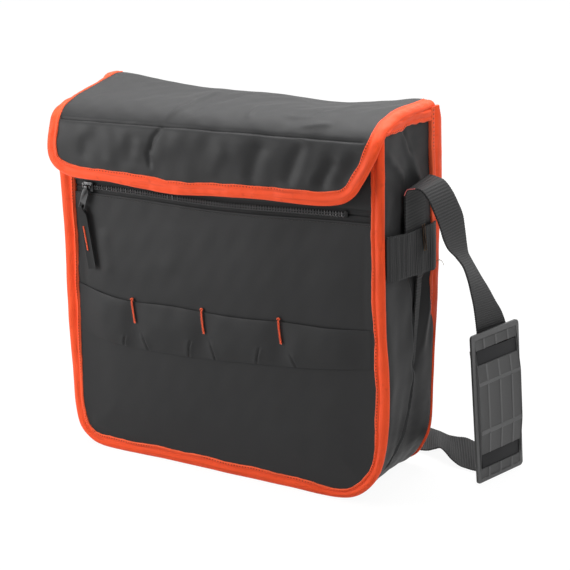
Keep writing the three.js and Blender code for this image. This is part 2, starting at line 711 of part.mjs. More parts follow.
/** Points along the strap, each with the direction of its width. */
function strapRoute() {
  const across = new THREE.Vector3(0, 1, 0);
  const exitX = (strapSeat + strapFace) / 2;
  const through = (frame, height, offset, sideways) => new THREE.Vector3(offset, sideways, height)
    .applyMatrix4(frame.matrix);
  const turned = (frame) => across.clone().applyQuaternion(frame.quaternion);
  const behindPlate = -padStrapGap - webbingThickness / 2;
  const padPoint = (height, sideways) => [through(padFrame, height, behindPlate, sideways),
    turned(padFrame)];
  const runPoint = (height) => [through(adjusterFrame, height, 0, 0), turned(adjusterFrame)];
  const at = (x, y, z, wx, wy, wz) => [new THREE.Vector3(x, y, z), new THREE.Vector3(wx, wy, wz)];
  return [
    at(exitX, 2, strapExitHeight + seatGap, 0, 1, 0),
    at(exitX, 2, 235, 0, 1, 0),
    at(exitX + 0.8, 2, 245, 0, 1, 0),
    at(167.3, 2, 256, 0.03, 1, 0),
    at(171, 2, 264, 0.08, 1, 0),
    at(177, 2.5, 266.5, 0.1, 0.99, 0),
    at(184.5, 3.5, 260, 0.1, 0.99, 0),
    at(190, 5, 248, 0.1, 0.99, 0),
    at(192.4, 11, 234.5, 0.05, 1, 0),
    at(193.6, 20, 213, -0.12, 0.99, 0),
    at(197.3, 28, 201.5, -0.24, 0.97, 0),
    at(202.8, 41.5, 182, -0.12, 0.99, 0),
    at(203.6, 52, 166, 0.05, 0.99, 0),
    padPoint(152, -9.5),
    padPoint(141, -5),
    padPoint(130, -1.5),
    padPoint(100, 0),
    padPoint(55, 0),
    padPoint(18, 0),
    padPoint(9, 0),
    at(208.5, 69.5, 3.4, 0.3, 0.95, 0.02),
    at(200, 72.5, 6, 0.27, 0.95, 0.16),
    at(190, 76, 9.5, 0.22, 0.9, 0.38),
    at(179, 80.5, 11.5, 0.2, 0.87, 0.46),
    at(167, 87, 9, 0.25, 0.9, 0.33),
    at(154, 93, 4, 0.25, 0.96, 0.1),
    at(139, 96, 1.5, 0.15, 0.99, 0),
    at(100, 97, 1.3, 0, 1, 0),
    at(30, 95, 1.3, 0, 1, 0),
    at(-50, 93, 1.3, 0, 1, 0),
    at(-120, 91, 1.5, -0.1, 0.99, 0),
    at(-152, 88, 5, -0.3, 0.95, 0),
    at(-172, 80, 16, -0.35, 0.94, 0.06),
    at(-185, 70, 40, -0.15, 0.97, 0.2),
    at(-189.5, 61, 74, 0, 0.96, 0.276),
    runPoint(-60),
    runPoint(-35),
    runPoint(35),
    runPoint(58),
    at(-189, 15, 234, 0, 0.98, 0.2),
    at(-186, 10, 246, -0.05, 0.99, 0.1),
    at(-179, 5, 258, -0.05, 1, 0),
    at(-171, 2.5, 260.5, 0, 1, 0),
    at(-exitX - 1.6, 2, 252, 0, 1, 0),
    at(-exitX, 2, 239, 0, 1, 0),
    at(-exitX, 2, 233, 0, 1, 0),
    at(-exitX, 2, strapExitHeight + seatGap, 0, 1, 0),
  ];
}

function addStrap() {
  const route = strapRoute();
  const centre = new THREE.CatmullRomCurve3(route.map(([point]) => point));
  const width = new THREE.CatmullRomCurve3(route.map(([, direction]) => direction));
  const steps = (route.length - 1) * 2;
  add('shoulder_strap', slab(steps, 1, (u, v, t) => {
    const along = centre.getTangent(u);
    const side = width.getPoint(u);
    side.addScaledVector(along, -side.dot(along)).normalize();
    const normal = along.clone().cross(side);
    return centre.getPoint(u).addScaledVector(side, (v - 0.5) * webbingWidth)
      .addScaledVector(normal, (t - 0.5) * webbingThickness);
  }), webbing);
}

addFront();
addZip();
addZipSlider();
addToolBand();
addGusset();
addBack();
addSide('right', 1);
addSide('left', -1);
addFlap();
addShoulderPad();
addAdjuster();
addStrap();

export default bag;
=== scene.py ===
"""A soft tool bag with a fold-over flap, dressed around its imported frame.

Shapes are worked out in the bag's own millimetres, x towards the wearer's right, y to the
back and z up from its base, and go into the meshes in metres.
"""

from __future__ import annotations

import logging
import math
from collections.abc import Callable, Mapping, Sequence
from dataclasses import dataclass, field
from enum import Enum
from functools import cached_property

import bmesh
import bpy
import numpy as np
from mathutils import Matrix, Vector

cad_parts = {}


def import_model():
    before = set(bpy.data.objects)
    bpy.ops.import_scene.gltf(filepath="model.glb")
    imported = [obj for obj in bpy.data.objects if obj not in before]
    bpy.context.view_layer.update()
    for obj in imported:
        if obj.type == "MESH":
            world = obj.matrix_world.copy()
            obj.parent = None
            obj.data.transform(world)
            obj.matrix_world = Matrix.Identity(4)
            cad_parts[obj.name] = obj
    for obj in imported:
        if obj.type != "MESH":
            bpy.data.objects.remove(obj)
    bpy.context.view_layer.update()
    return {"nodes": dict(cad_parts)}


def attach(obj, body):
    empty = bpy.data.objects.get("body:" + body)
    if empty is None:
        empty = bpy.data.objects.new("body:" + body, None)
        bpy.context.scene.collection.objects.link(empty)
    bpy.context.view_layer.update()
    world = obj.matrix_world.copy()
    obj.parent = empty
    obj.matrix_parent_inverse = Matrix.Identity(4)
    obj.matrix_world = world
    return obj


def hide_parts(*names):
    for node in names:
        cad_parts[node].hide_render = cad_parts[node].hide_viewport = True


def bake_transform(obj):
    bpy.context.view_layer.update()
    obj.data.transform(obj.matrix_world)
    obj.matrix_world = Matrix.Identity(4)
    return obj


LOG = logging.getLogger("tool_bag")
MM = 0.001
BACKWARD = 5.25
HINGE_ANGLE = math.radians(42)

SEAM_PITCH = 3.4
SOFT_GLOSS = 0.24

Array = np.ndarray
Pair = tuple[Array, Array]
Line = tuple[tuple[float, float], ...]
Place = tuple[float, float, float]
Placer = Callable[[Array, Array], Pair]
Material = bpy.types.Material
Node = bpy.types.Object
Socket = bpy.types.NodeSocket

stack = np.column_stack


class Slot(Enum):
    """The record's material slots."""

    CLOTH = "cloth"
    EDGE_TAPE = "edge_tape"
    THREAD = "thread"
    WEBBING = "webbing"
    ZIP_NYLON = "zip_nylon"
    ZIP_METAL = "zip_metal"
    FASTENER = "fastener"
    PAD_RUBBER = "pad_rubber"
    BOARD = "board"


def metres(points: Array) -> Array:
    """Points of the bag's own frame, in millimetres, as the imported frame's metres."""
    return (np.asarray(points, float) + np.array((0.0, BACKWARD, 0.0))) * MM


def spot(x: float, y: float, z: float) -> Place:
    """One point of the bag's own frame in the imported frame's metres."""
    return tuple(metres(np.array((x, y, z))))


def rise(value: Array | float, low: float, high: float) -> Array:
    """A smooth step from 0 at low to 1 at high."""
    share = np.clip((np.asarray(value, float) - low) / (high - low), 0.0, 1.0)
    return share * share * (3.0 - 2.0 * share)


def hump(value: Array | float, centre: float, width: float) -> Array:
    """A bell of height 1 around a centre."""
    return np.exp(-(((np.asarray(value, float) - centre) / width) ** 2))


def crumple(a: Array, b: Array | float, size: float, seed: int) -> Array:
    """Gentle unevenness of about 1 in height, with lumps of about the given size.

    Args:
        a: First coordinate of each point, in millimetres.
        b: Second coordinate of each point, or 0 along a line.
        size: The lumps' usual spacing, in millimetres.
        seed: Chooses the pattern.

    Returns:
        The height at each point.
    """
    draw = np.random.default_rng(seed)
    total = np.zeros(np.shape(a))
    waves = 6
    for _ in range(waves):
        turn, phase = draw.uniform(0, math.tau, 2)
        reach = size * draw.uniform(0.6, 1.7)
        total += np.sin((a * math.cos(turn) + b * math.sin(turn)) * math.tau / reach + phase)
    return total / math.sqrt(waves)


def travelled(line: Array) -> Array:
    """How far along a line each of its points is."""
    return np.concatenate(([0.0], np.cumsum(np.linalg.norm(np.diff(line, axis=0), axis=1))))


def through(points: Array, steps: int) -> Array:
    """A smooth line through points, with the same number of steps between each two.

    Args:
        points: The points, one a row.
        steps: How many steps go from one point to the next.

    Returns:
        The line's points, the last one among them.
    """
    ends = np.vstack((2 * points[0] - points[1], points, 2 * points[-1] - points[-2]))
    share = np.linspace(0.0, 1.0, steps, endpoint=False)[:, None]
    runs = []
    for a, b, c, d in zip(ends, ends[1:], ends[2:], ends[3:], strict=False):
        before, along, after = (
            max(float(np.linalg.norm(q - p)), 1e-8) ** 0.5 for p, q in ((a, b), (b, c), (c, d))
        )
        leave = ((b - a) / before - (c - a) / (before + along)) * along + (c - b)
        arrive = (c - b) + ((d - c) / after - (d - b) / (along + after)) * along
        bend = 3 * (c - b) - 2 * leave - arrive
        twist = 2 * (b - c) + leave + arrive
        runs.append(b + leave * share + bend * share**2 + twist * share**3)
    return np.vstack((*runs, points[-1:]))


@dataclass(frozen=True)
class Rail:
    """A smooth line on a flat pattern, followed by share of its length."""

    points: Line

    @cached_property
    def track(self) -> Pair:
        """The line's points, and how far along it each one is."""
        line = through(np.array(self.points, float), 20)
        return line, travelled(line)

    @property
    def length(self) -> float:
        """The line's length."""
        return float(self.track[1][-1])

    def spot(self, reach: Array) -> Array:
        """The points that lie at these distances along the line."""
        line, far = self.track
        return stack([np.interp(reach, far, line[:, k]) for k in (0, 1)])

    def left(self, reach: Array) -> Array:
        """The directions to the left of the way the line runs.

        Args:
            reach: Distances along the line.

        Returns:
            A direction for each.
        """
        step = 0.8
        ahead = self.spot(np.minimum(reach + step, self.length))
        ahead = ahead - self.spot(np.maximum(reach - step, 0.0))
        ahead /= np.linalg.norm(ahead, axis=1, keepdims=True)
        return stack((-ahead[:, 1], ahead[:, 0]))

    def at(self, share: Array, aside: Array | float = 0.0) -> Array:
        """Points at shares of the length, moved to the line's left by a distance."""
        reach = np.clip(share, 0.0, 1.0) * self.length
        return self.spot(reach) + self.left(reach) * np.reshape(aside * np.ones(len(reach)), (-1, 1))

    def reach_of(self, axis: int, value: float) -> float:
        """How far along the line a coordinate last has a value.

        Args:
            axis: Which coordinate, 0 or 1.
            value: Its value.

        Returns:
            The distance.
        """
        line, far = self.track
        side = np.sign(line[:, axis] - value)
        change = np.nonzero(side[:-1] != side[1:])[0]
        return float(far[change[-1]])


@dataclass(frozen=True)
class Fold:
    """A crease, ridge or tuck that follows a line on a piece of cloth.

    A fold is higher by height along its line, and step lifts the cloth on its left, which
    falls back to level over spread.
    """

    line: Line
    height: float
    width: float
    step: float = 0.0
    spread: float = 14.0
    fade: float = 10.0

    def relief(self, a: Array, b: Array) -> Array:
        """How much the fold lifts the cloth at these points.

        Args:
            a: Their first coordinates.
            b: Their second ones.

        Returns:
            A height for each.
        """
        nearest = np.full(np.shape(a), np.inf)
        signed = np.zeros(np.shape(a))
        along = np.zeros(np.shape(a))
        start = 0.0
        for (x0, y0), (x1, y1) in zip(self.line, self.line[1:], strict=False):
            run, climb = x1 - x0, y1 - y0
            length = math.hypot(run, climb)
            share = np.clip(((a - x0) * run + (b - y0) * climb) / length**2, 0.0, 1.0)
            apart = np.hypot(a - x0 - share * run, b - y0 - share * climb)
            side = np.sign(run * (b - y0) - climb * (a - x0))
            closer = apart < nearest
            nearest = np.where(closer, apart, nearest)
            signed = np.where(closer, side * apart, signed)
            along = np.where(closer, start + share * length, along)
            start += length
        ends = rise(along, -0.01, self.fade) * (1.0 - rise(along, start - self.fade, start + 0.01))
        raised = self.height * np.exp(-((nearest / self.width) ** 2))
        lifted = self.step * 0.5 * (1.0 + np.tanh(signed / 0.7)) * np.exp(-nearest / self.spread)
        return (raised + lifted) * ends


def relief_of(folds: Sequence[Fold], a: Array, b: Array) -> Array:
    """The height that several folds add together."""
    return sum((fold.relief(a, b) for fold in folds), np.zeros(np.shape(a)))


@dataclass
class Shape:
    """A mesh being made, with a map of the flat cloth that it is cut from."""

    name: str
    mesh: bmesh.types.BMesh = field(default_factory=bmesh.new)

    @property
    def pattern(self) -> bmesh.types.BMLayerItem:
        """The map that holds each corner's place on the flat cloth, in millimetres."""
        layers = self.mesh.loops.layers.uv
        return layers.get("Pattern") or layers.new("Pattern")

    def grid(self, columns: int, rows: int, place: Placer) -> list[bmesh.types.BMVert]:
        """Adds a grid and moves its points.

        Args:
            columns: Faces across.
            rows: Faces up.
            place: Turns shares across and up into places on the flat cloth and in space.

        Returns:
            The new points.
        """
        layer = self.pattern
        made = bmesh.ops.create_grid(self.mesh, x_segments=columns, y_segments=rows, size=0.5)
        verts = made["verts"]
        shares = np.array([vert.co[:2] for vert in verts]) + 0.5
        flat, points = place(shares[:, 0], shares[:, 1])
        flat_of = {}
        for vert, on_cloth, point in zip(verts, flat, metres(points), strict=True):
            vert.co = point
            flat_of[vert] = on_cloth
        for face in {face for vert in verts for face in vert.link_faces}:
            for loop in face.loops:
                loop[layer].uv = flat_of[loop.vert]
        return verts

    def cloth(self, columns: int, rows: int, place: Placer, outward: Place) -> None:
        """Adds an open sheet whose front faces roughly outward.

        Args:
            columns: Faces across.
            rows: Faces up.
            place: As for a grid.
            outward: Roughly where the front faces.
        """
        verts = self.grid(columns, rows, place)
        faces = list({face for vert in verts for face in vert.link_faces})
        self.mesh.normal_update()
        facing = sum((face.normal * face.calc_area() for face in faces), Vector())
        if facing.dot(Vector(outward)) < 0:
            bmesh.ops.reverse_faces(self.mesh, faces=faces)

    def sweep(self, around: int, rows: int, place: Placer) -> None:
        """Adds a closed skin: the first share runs round it and the second along it.

        Args:
            around: Faces round it.
            rows: Faces along it.
            place: As for a grid.
        """
        verts = self.grid(around, rows, place)
        bmesh.ops.remove_doubles(self.mesh, verts=verts, dist=1e-6)
        verts = [vert for vert in verts if vert.is_valid]
        edges = list({edge for vert in verts for edge in vert.link_edges if edge.is_boundary})
        bmesh.ops.holes_fill(self.mesh, edges=edges, sides=0)
        faces = list({face for vert in verts for face in vert.link_faces})
        bmesh.ops.recalc_face_normals(self.mesh, faces=faces)

    def tube(self, spine: Array, radius: Array | float, sides: int = 6) -> None:
        """Adds a round tube along a line of points.

        Args:
            spine: The line.
            radius: In millimetres, one number or one for each point.
            sides: Faces round it.
        """
        ahead = np.gradient(spine, axis=0)
        ahead /= np.linalg.norm(ahead, axis=1, keepdims=True)
        side = np.zeros_like(spine)
        start = np.array((0.0, 0.0, 1.0)) if abs(ahead[0][2]) < 0.8 else np.array((1.0, 0.0, 0.0))
        side[0] = np.cross(ahead[0], start)
        for i in range(1, len(spine)):
            side[i] = side[i - 1] - ahead[i] * side[i - 1].dot(ahead[i])
        side /= np.linalg.norm(side, axis=1, keepdims=True)
        up = np.cross(ahead, side)
        far = travelled(spine)
        wide = radius * np.ones(len(spine))

        def place(u: Array, v: Array) -> Pair:
            """Rounds the tube at each point of the spine.

            Args:
                u: Shares round it.
                v: Shares along it.

            Returns:
                Flat and solid places.
            """
            row = np.rint(v * (len(spine) - 1)).astype(int)
            turn = np.rint(u * sides) % sides / sides * math.tau
            ring = side[row] * np.cos(turn)[:, None] + up[row] * np.sin(turn)[:, None]
            return stack((far[row], u * 10)), spine[row] + ring * wide[row][:, None]

        self.sweep(sides, len(spine) - 1, place)

    def round_off(self, edges: list[bmesh.types.BMEdge], bevel: float) -> None:
        """Rounds edges, by a distance in millimetres."""
        bmesh.ops.bevel(
            self.mesh, geom=edges, offset=bevel * MM, affect="EDGES", segments=2, profile=0.5, material=-1
        )

    def block(self, low: Sequence[float], high: Sequence[float], bevel: float, turn: Matrix) -> None:
        """Adds a box with rounded edges, given in a turned frame of the bag's own millimetres.

        Args:
            low: Its lowest corner.
            high: Its highest corner.
            bevel: How far its edges are rounded.
            turn: The frame.
        """
        made = bmesh.ops.create_cube(self.mesh, size=1.0)
        verts = made["verts"]
        middle = (Vector(low) + Vector(high)) / 2
        reach = Vector(high) - Vector(low)
        for vert in verts:
            there = turn @ Vector(c * s + m for c, s, m in zip(vert.co, reach, middle, strict=True))
            vert.co = spot(*there)
        edges = list({edge for vert in verts for edge in vert.link_edges})
        self.round_off(edges, bevel)

    def copy(self, node: Node, bevel: float) -> None:
        """Takes a CAD node's own shape and rounds its edges.

        Args:
            node: The node.
            bevel: How far its edges are rounded.
        """
        self.mesh.from_mesh(node.data)
        bmesh.ops.remove_doubles(self.mesh, verts=self.mesh.verts[:], dist=1e-6)
        bmesh.ops.dissolve_limit(
            self.mesh, angle_limit=math.radians(2), verts=self.mesh.verts[:], edges=self.mesh.edges[:]
        )
        corner = math.radians(28)
        sharp = [
            edge for edge in self.mesh.edges if edge.is_manifold and edge.calc_face_angle(0.0) > corner
        ]
        self.round_off(sharp, bevel)
        bmesh.ops.triangulate(self.mesh, faces=[face for face in self.mesh.faces if len(face.verts) > 4])

    def finish(
        self,
        material: Material,
        slot: Slot,
        replaced: Sequence[str] = (),
        body: str | None = "bag",
        wall: float = 0.0,
    ) -> Node:
        """Makes the piece, dresses it and puts it on its body.

        Args:
            material: The finish that covers it.
            slot: The record's slot for that finish; it is not used.
            replaced: The CAD nodes that it stands for.
            body: The body that carries it, or None for a piece that is put on no body.
            wall: How thick an open sheet becomes, inwards, in millimetres.

        Returns:
            The piece.
        """
        data = bpy.data.meshes.new(self.name)
        self.mesh.to_mesh(data)
        self.mesh.free()
        piece = bpy.data.objects.new(self.name, data)
        bpy.context.scene.collection.objects.link(piece)
        if wall:
            shell = piece.modifiers.new("wall", "SOLIDIFY")
            shell.thickness = wall * MM
            shell.offset = -1.0
            ready = piece.evaluated_get(bpy.context.evaluated_depsgraph_get())
            piece.data = bpy.data.meshes.new_from_object(ready)
            piece.modifiers.clear()
            piece.data.name = self.name
            bpy.data.meshes.remove(data)
        piece.data.materials.clear()
        piece.data.materials.append(material)
        piece.data.shade_smooth()
        piece.data.set_sharp_from_angle(angle=HINGE_ANGLE)
        if body is not None:
            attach(piece, body)
        if replaced:
            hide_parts(*replaced)
        LOG.info("%s: %d faces, on %s", self.name, len(piece.data.polygons), body or "two bodies")
        return piece


class Value:
    """A number that varies over a surface, for sums written in plain Python."""

    def __init__(self, graph: Graph, socket: Socket) -> None:
        """Keeps the graph and the socket that holds the number."""
        self.graph = graph
        self.socket = socket

    def __add__(self, other: Value | float) -> Value:
        """Adds a Math node."""
        return self.graph.maths("ADD", self, other)

    def __sub__(self, other: Value | float) -> Value:
        """Takes another value away."""
        return self.graph.maths("SUBTRACT", self, other)

    def __rsub__(self, other: float) -> Value:
        """Takes this value away from a number."""
        return self.graph.maths("SUBTRACT", other, self)

    def __mul__(self, other: Value | float) -> Value:
        """Multiplies by another value."""
        return self.graph.maths("MULTIPLY", self, other)

    def __truediv__(self, other: Value | float) -> Value:
        """Divides by another value."""
        return self.graph.maths("DIVIDE", self, other)

    def __pow__(self, other: float) -> Value:
        """Raises to a power."""
        return self.graph.maths("POWER", self, other)

    __radd__ = __add__
    __rmul__ = __mul__

    def call(self, operation: str, *others: Value | float) -> Value:
        """Any other Math node on this value."""
        return self.graph.maths(operation, self, *others)

    def step(self, low: float, high: float) -> Value:
        """A smooth step from 0 at low to 1 at high.

        Args:
            low: Where it starts.
            high: Where it ends.

        Returns:
            The step's height.
        """
        node = self.graph.node(
            "ShaderNodeMapRange",
            {"interpolation_type": "SMOOTHSTEP"},
            {0: self, 1: low, 2: high, 3: 0.0, 4: 1.0},
        )
        return Value(self.graph, node.outputs[0])


class Graph:
    """The nodes of one material or of the world."""

    def __init__(self, tree: bpy.types.NodeTree) -> None:
        """Empties the tree."""
        self.tree = tree
        tree.nodes.clear()

    def node(
        self, kind: str, settings: Mapping[str, object] | None = None, sockets: Mapping | None = None
    ) -> bpy.types.Node:
        """Adds a node.

        Args:
            kind: The node's type.
            settings: Its own settings, set before its sockets.
            sockets: Values or links by socket name or number.

        Returns:
            The node.
        """
        made = self.tree.nodes.new(kind)
        for key, value in (settings or {}).items():
            setattr(made, key, value)
        for key, value in (sockets or {}).items():
            self.feed(made.inputs[key], value)
        return made

    def feed(self, socket: Socket, value: object) -> None:
        """Links a value to a socket, or sets the socket's own number or colour.

        Args:
            socket: The socket.
            value: A value, a link, a number or a colour.
        """
        if isinstance(value, Value):
            self.tree.links.new(value.socket, socket)
        elif isinstance(value, Socket):
            self.tree.links.new(value, socket)
        else:
            socket.default_value = value

    def maths(self, operation: str, *values: Value | float) -> Value:
        """Adds a Math node on values."""
        made = self.node("ShaderNodeMath", {"operation": operation}, dict(enumerate(values)))
        return Value(self, made.outputs[0])

    def pattern(self) -> Socket:
        """The places on the flat cloth, in millimetres."""
        return self.node("ShaderNodeUVMap", {"uv_map": "Pattern"}).outputs[0]

    def place(self) -> Socket:
        """The places on the piece, in metres."""
        return self.node("ShaderNodeTexCoord").outputs["Object"]

    def split(self, vector: Socket) -> list[Value]:
        """A vector's three numbers."""
        parts = self.node("ShaderNodeSeparateXYZ", None, {0: vector})
        return [Value(self, socket) for socket in parts.outputs]

    def noise(self, vector: Socket, scale: float, detail: float = 3.0) -> Value:
        """Cloudy noise from 0 to 1.

        Args:
            vector: Where it is read.
            scale: How fine it is.
            detail: How many layers it has.

        Returns:
            The noise.
        """
        made = self.node(
            "ShaderNodeTexNoise", None, {"Vector": vector, "Scale": scale, "Detail": detail}
        )
        return Value(self, made.outputs[0])

    def mix(self, share: Value | float, first: object, second: object) -> Socket:
        """Mixes two colours.

        Args:
            share: The second one's share.
            first: One colour.
            second: The other.

        Returns:
            The mixed colour.
        """
        made = self.node(
            "ShaderNodeMix", {"data_type": "RGBA"}, {0: share, 6: first, 7: second}
        )
        return made.outputs[2]

    def bump(self, height: Value, distance: float, strength: float = 1.0) -> Socket:
        """A normal from a height from 0 to 1 that stands for a distance in metres.

        Args:
            height: The height.
            distance: What 1 stands for.
            strength: How much of it shows.

        Returns:
            The normal.
        """
        made = self.node(
            "ShaderNodeBump", None, {"Height": height, "Distance": distance, "Strength": strength}
        )
        return made.outputs[0]

    def surface(self, sockets: Mapping[str, object]) -> bpy.types.Node:
        """The material's one Principled surface, joined to its output.

        Args:
            sockets: Values or links by socket name.

        Returns:
            The surface's node.
        """
        skin = self.node("ShaderNodeBsdfPrincipled", None, sockets)
        self.node("ShaderNodeOutputMaterial", None, {"Surface": skin.outputs[0]})
        return skin


Colour = Place


def solid(colour: Colour, factor: float = 1.0) -> tuple[float, float, float, float]:
    """A colour, made lighter or darker, as a socket takes it."""
    return (*(min(1.0, part * factor) for part in colour), 1.0)


@dataclass(frozen=True)
class Finish:
    """How one stuff looks. Each kind of stuff dresses its own graph."""

    name: str
    colour: Colour
    roughness: float = 0.6

    def build(self) -> Material:
        """Makes the material and dresses it.

        Returns:
            The material.
        """
        material = bpy.data.materials.new(self.name)
        material.use_nodes = True
        material.diffuse_color = solid(self.colour)
        self.dress(Graph(material.node_tree))
        return material

    def tone(self, graph: Graph, share: Value, dark: float, light: float) -> Socket:
        """The finish's colour, from dark to light times its own."""
        return graph.mix(share, solid(self.colour, dark), solid(self.colour, light))

    def dress(self, graph: Graph) -> None:
        """Adds the nodes."""
        raise NotImplementedError


@dataclass(frozen=True)
class CoatedCloth(Finish):
    """Close-woven nylon with a thin coating: a fine grain, faint mottling and a soft gloss."""

    weave: float = 0.9
    grain: float = 0.00005

    def dress(self, graph: Graph) -> None:
        """Weave and mottling on the cloth's own pattern.

        Args:
            graph: The material's graph.
        """
        pattern = graph.pattern()
        across, along, _ = graph.split(pattern)
        turn = math.tau / self.weave
        warp = (across * turn).call("SINE")
        weft = (along * turn).call("SINE")
        speckle = graph.noise(pattern, 1.4, 2.0)
        cloud = graph.noise(pattern, 0.035, 3.0)
        height = warp * weft * 0.25 + speckle * 0.6 + 0.2
        shade = cloud * 0.5 + speckle * 0.5
        graph.surface({
            "Base Color": self.tone(graph, shade, 0.8, 1.2),
            "Roughness": speckle * 0.14 + (self.roughness - 0.07),
            "Specular IOR Level": SOFT_GLOSS,
            "Normal": graph.bump(height, self.grain),
        })


@dataclass(frozen=True)
class EdgeTape(Finish):
    """Woven polyester tape, folded over an edge and stitched through near its inner side."""

    stitch_row: float = 10.4
    stitch_pitch: float = 2.9
    holes: float = 0.9
    rib: float = 0.8
    twill: float = 2.1

    def dress(self, graph: Graph) -> None:
        """Fine cross ribs, a row of needle holes, light scuffing, painted shade in lengthwise creases and
        a painted highlight along the inner edge.

        Args:
            graph: The material's graph.
        """
        pattern = graph.pattern()
        along, across, _ = graph.split(pattern)
        ribs = (along * (math.tau / self.rib)).call("SINE") * 0.5 + 0.5
        speckle = graph.noise(pattern, 1.1, 3.0)
        cloud = graph.noise(pattern, 0.05, 3.0)
        patchy = graph.noise(pattern, 0.025, 1.0).step(0.38, 0.55)
        beat = ((along / self.stitch_pitch).call("FRACT") - 0.5) * self.stitch_pitch
        apart = (beat * beat + (across - self.stitch_row) ** 2.0).call("SQRT")
        hole = (1.0 - apart.step(0.3, 0.85)) * patchy * self.holes
        # Streaks drawn out along the tape are painted shade of its lengthwise creases; they darken the
        # colour together with the worn patches, which are scuffing.
        drawn = graph.node(
            "ShaderNodeVectorMath", {"operation": "MULTIPLY"}, {0: pattern, 1: (0.022, 0.36, 1.0)}
        ).outputs[0]
        painted_crease_shade = graph.noise(drawn, 1.0, 2.0).step(0.5, 0.72) * 0.5
        worn = graph.noise(pattern, 0.16, 2.0).step(0.55, 0.8) * 0.4
        slope = math.tau / self.twill
        twill = ((along + across) * slope).call("SINE") * ((along - across) * slope).call("SINE")
        # A lighter band at the tape's inner edge, 10.9 to 11.7 mm in, is a painted highlight where that
        # edge catches the light.
        rim = across.step(10.9, 11.7) * 0.5
        mottled = cloud * 0.5 + speckle * 0.3 + twill * 0.14 + 0.1
        tone = self.tone(graph, mottled, 0.82, 1.14)
        worn_and_crease_shaded = graph.mix(worn.call("MAXIMUM", painted_crease_shade), tone, solid(self.colour, 0.6))
        inner_edge_highlighted = graph.mix(rim, worn_and_crease_shaded, solid((0.95, 0.17, 0.07)))
        graph.surface({
            "Base Color": graph.mix(hole, inner_edge_highlighted, solid((0.16, 0.02, 0.01))),
            "Roughness": speckle * 0.16 + (self.roughness - 0.08),
            "Specular IOR Level": SOFT_GLOSS,
            "Sheen Weight": 0.08,
            "Sheen Roughness": 0.5,
            "Normal": graph.bump(ribs * 0.4 + speckle * 0.6 - hole, 0.00012),
        })


@dataclass(frozen=True)
class Webbing(Finish):
    """Strap webbing: ribs across its length, a fine plain weave and firm edges."""

    pitch: float = 2.6
    depth: float = 0.0004
    yarn: float = 1.3

    def dress(self, graph: Graph) -> None:
        """Ribs by the place along the strap, with painted light and shade on them.

        Args:
            graph: The material's graph.
        """
        pattern = graph.pattern()
        along, across, _ = graph.split(pattern)
        ribs = (along * (math.tau / self.pitch)).call("SINE") * 0.5 + 0.5
        picks = (along * (math.tau / self.pitch / 2)).call("SINE")
        yarns = (across * (math.tau / self.yarn)).call("SINE") * picks
        speckle = graph.noise(pattern, 0.9, 3.0)
        cloud = graph.noise(pattern, 0.03, 2.0)
        height = ribs * 0.5 + yarns * 0.2 + speckle * 0.3 + 0.2
        # The ribs are painted lighter on their crests and darker between them, painted light and shade;
        # speckle and cloud are the webbing's own tone.
        shade = ribs * 0.55 + speckle * 0.25 + cloud * 0.2
        graph.surface({
            "Base Color": self.tone(graph, shade, 0.3, 1.6),
            "Roughness": speckle * 0.2 + (self.roughness - 0.1),
            "Specular IOR Level": SOFT_GLOSS,
            "Normal": graph.bump(height, self.depth),
        })


@dataclass(frozen=True)
class Yarn(Finish):
    """Twisted sewing thread."""

    twist: float = 2600.0

    def dress(self, graph: Graph) -> None:
        """A fine twist along the thread.

        Args:
            graph: The material's graph.
        """
        place = graph.place()
        x, y, z = graph.split(place)
        twist = ((x + y * 0.6 + z * 0.8) * self.twist).call("SINE") * 0.5 + 0.5
        speckle = graph.noise(place, 900.0, 2.0)
        graph.surface({
            "Base Color": self.tone(graph, twist * 0.5 + speckle * 0.5, 0.7, 1.2),
            "Roughness": speckle * 0.2 + (self.roughness - 0.1),
            "Specular IOR Level": 0.3,
            "Sheen Weight": 0.2,
            "Normal": graph.bump(twist, 0.0001),
        })


@dataclass(frozen=True)
class Moulding(Finish):
    """Moulded plastic, rubber or cast metal with a fine spark grain and handling marks."""

    metallic: float = 0.0
    grain: float = 1400.0
    depth: float = 0.00004
    worn: float = 0.15

    def dress(self, graph: Graph) -> None:
        """Grain, faint clouding and rubbed patches by the place on the piece.

        Args:
            graph: The material's graph.
        """
        place = graph.place()
        grain = graph.noise(place, self.grain, 3.0)
        cloud = graph.noise(place, 45.0, 4.0)
        rubbed = graph.noise(place, 160.0, 4.0).step(0.5, 0.75) * self.worn
        tone = self.tone(graph, cloud, 0.86, 1.14)
        graph.surface({
            "Base Color": graph.mix(rubbed, tone, solid(self.colour, 1.7)),
            "Metallic": self.metallic,
            "Roughness": cloud * 0.12 + grain * 0.1 + (self.roughness - 0.11),
            "Specular IOR Level": 0.45,
            "Normal": graph.bump(grain, self.depth),
        })


@dataclass(frozen=True)
class RibbedRubber(Finish):
    """Moulded rubber, paler on its ribs and rim."""

    paler: float = 1.75
    face: float = 3.0

    def dress(self, graph: Graph) -> None:
        """Pales what stands in front of the plate's face.

        Args:
            graph: The material's graph.
        """
        pattern = graph.pattern()
        _, out, _ = graph.split(pattern)
        place = graph.place()
        grain = graph.noise(place, 1300.0, 3.0)
        cloud = graph.noise(place, 60.0, 4.0)
        raised = out.step(self.face + 0.3, self.face + 0.8)
        pale = raised * (cloud * 0.5 + 0.7)
        tone = self.tone(graph, cloud, 0.88, 1.12)
        graph.surface({
            "Base Color": graph.mix(pale, tone, solid(self.colour, self.paler)),
            "Roughness": cloud * 0.12 + grain * 0.1 + (self.roughness - 0.11),
            "Specular IOR Level": 0.45,
            "Normal": graph.bump(grain, 0.00004),
        })


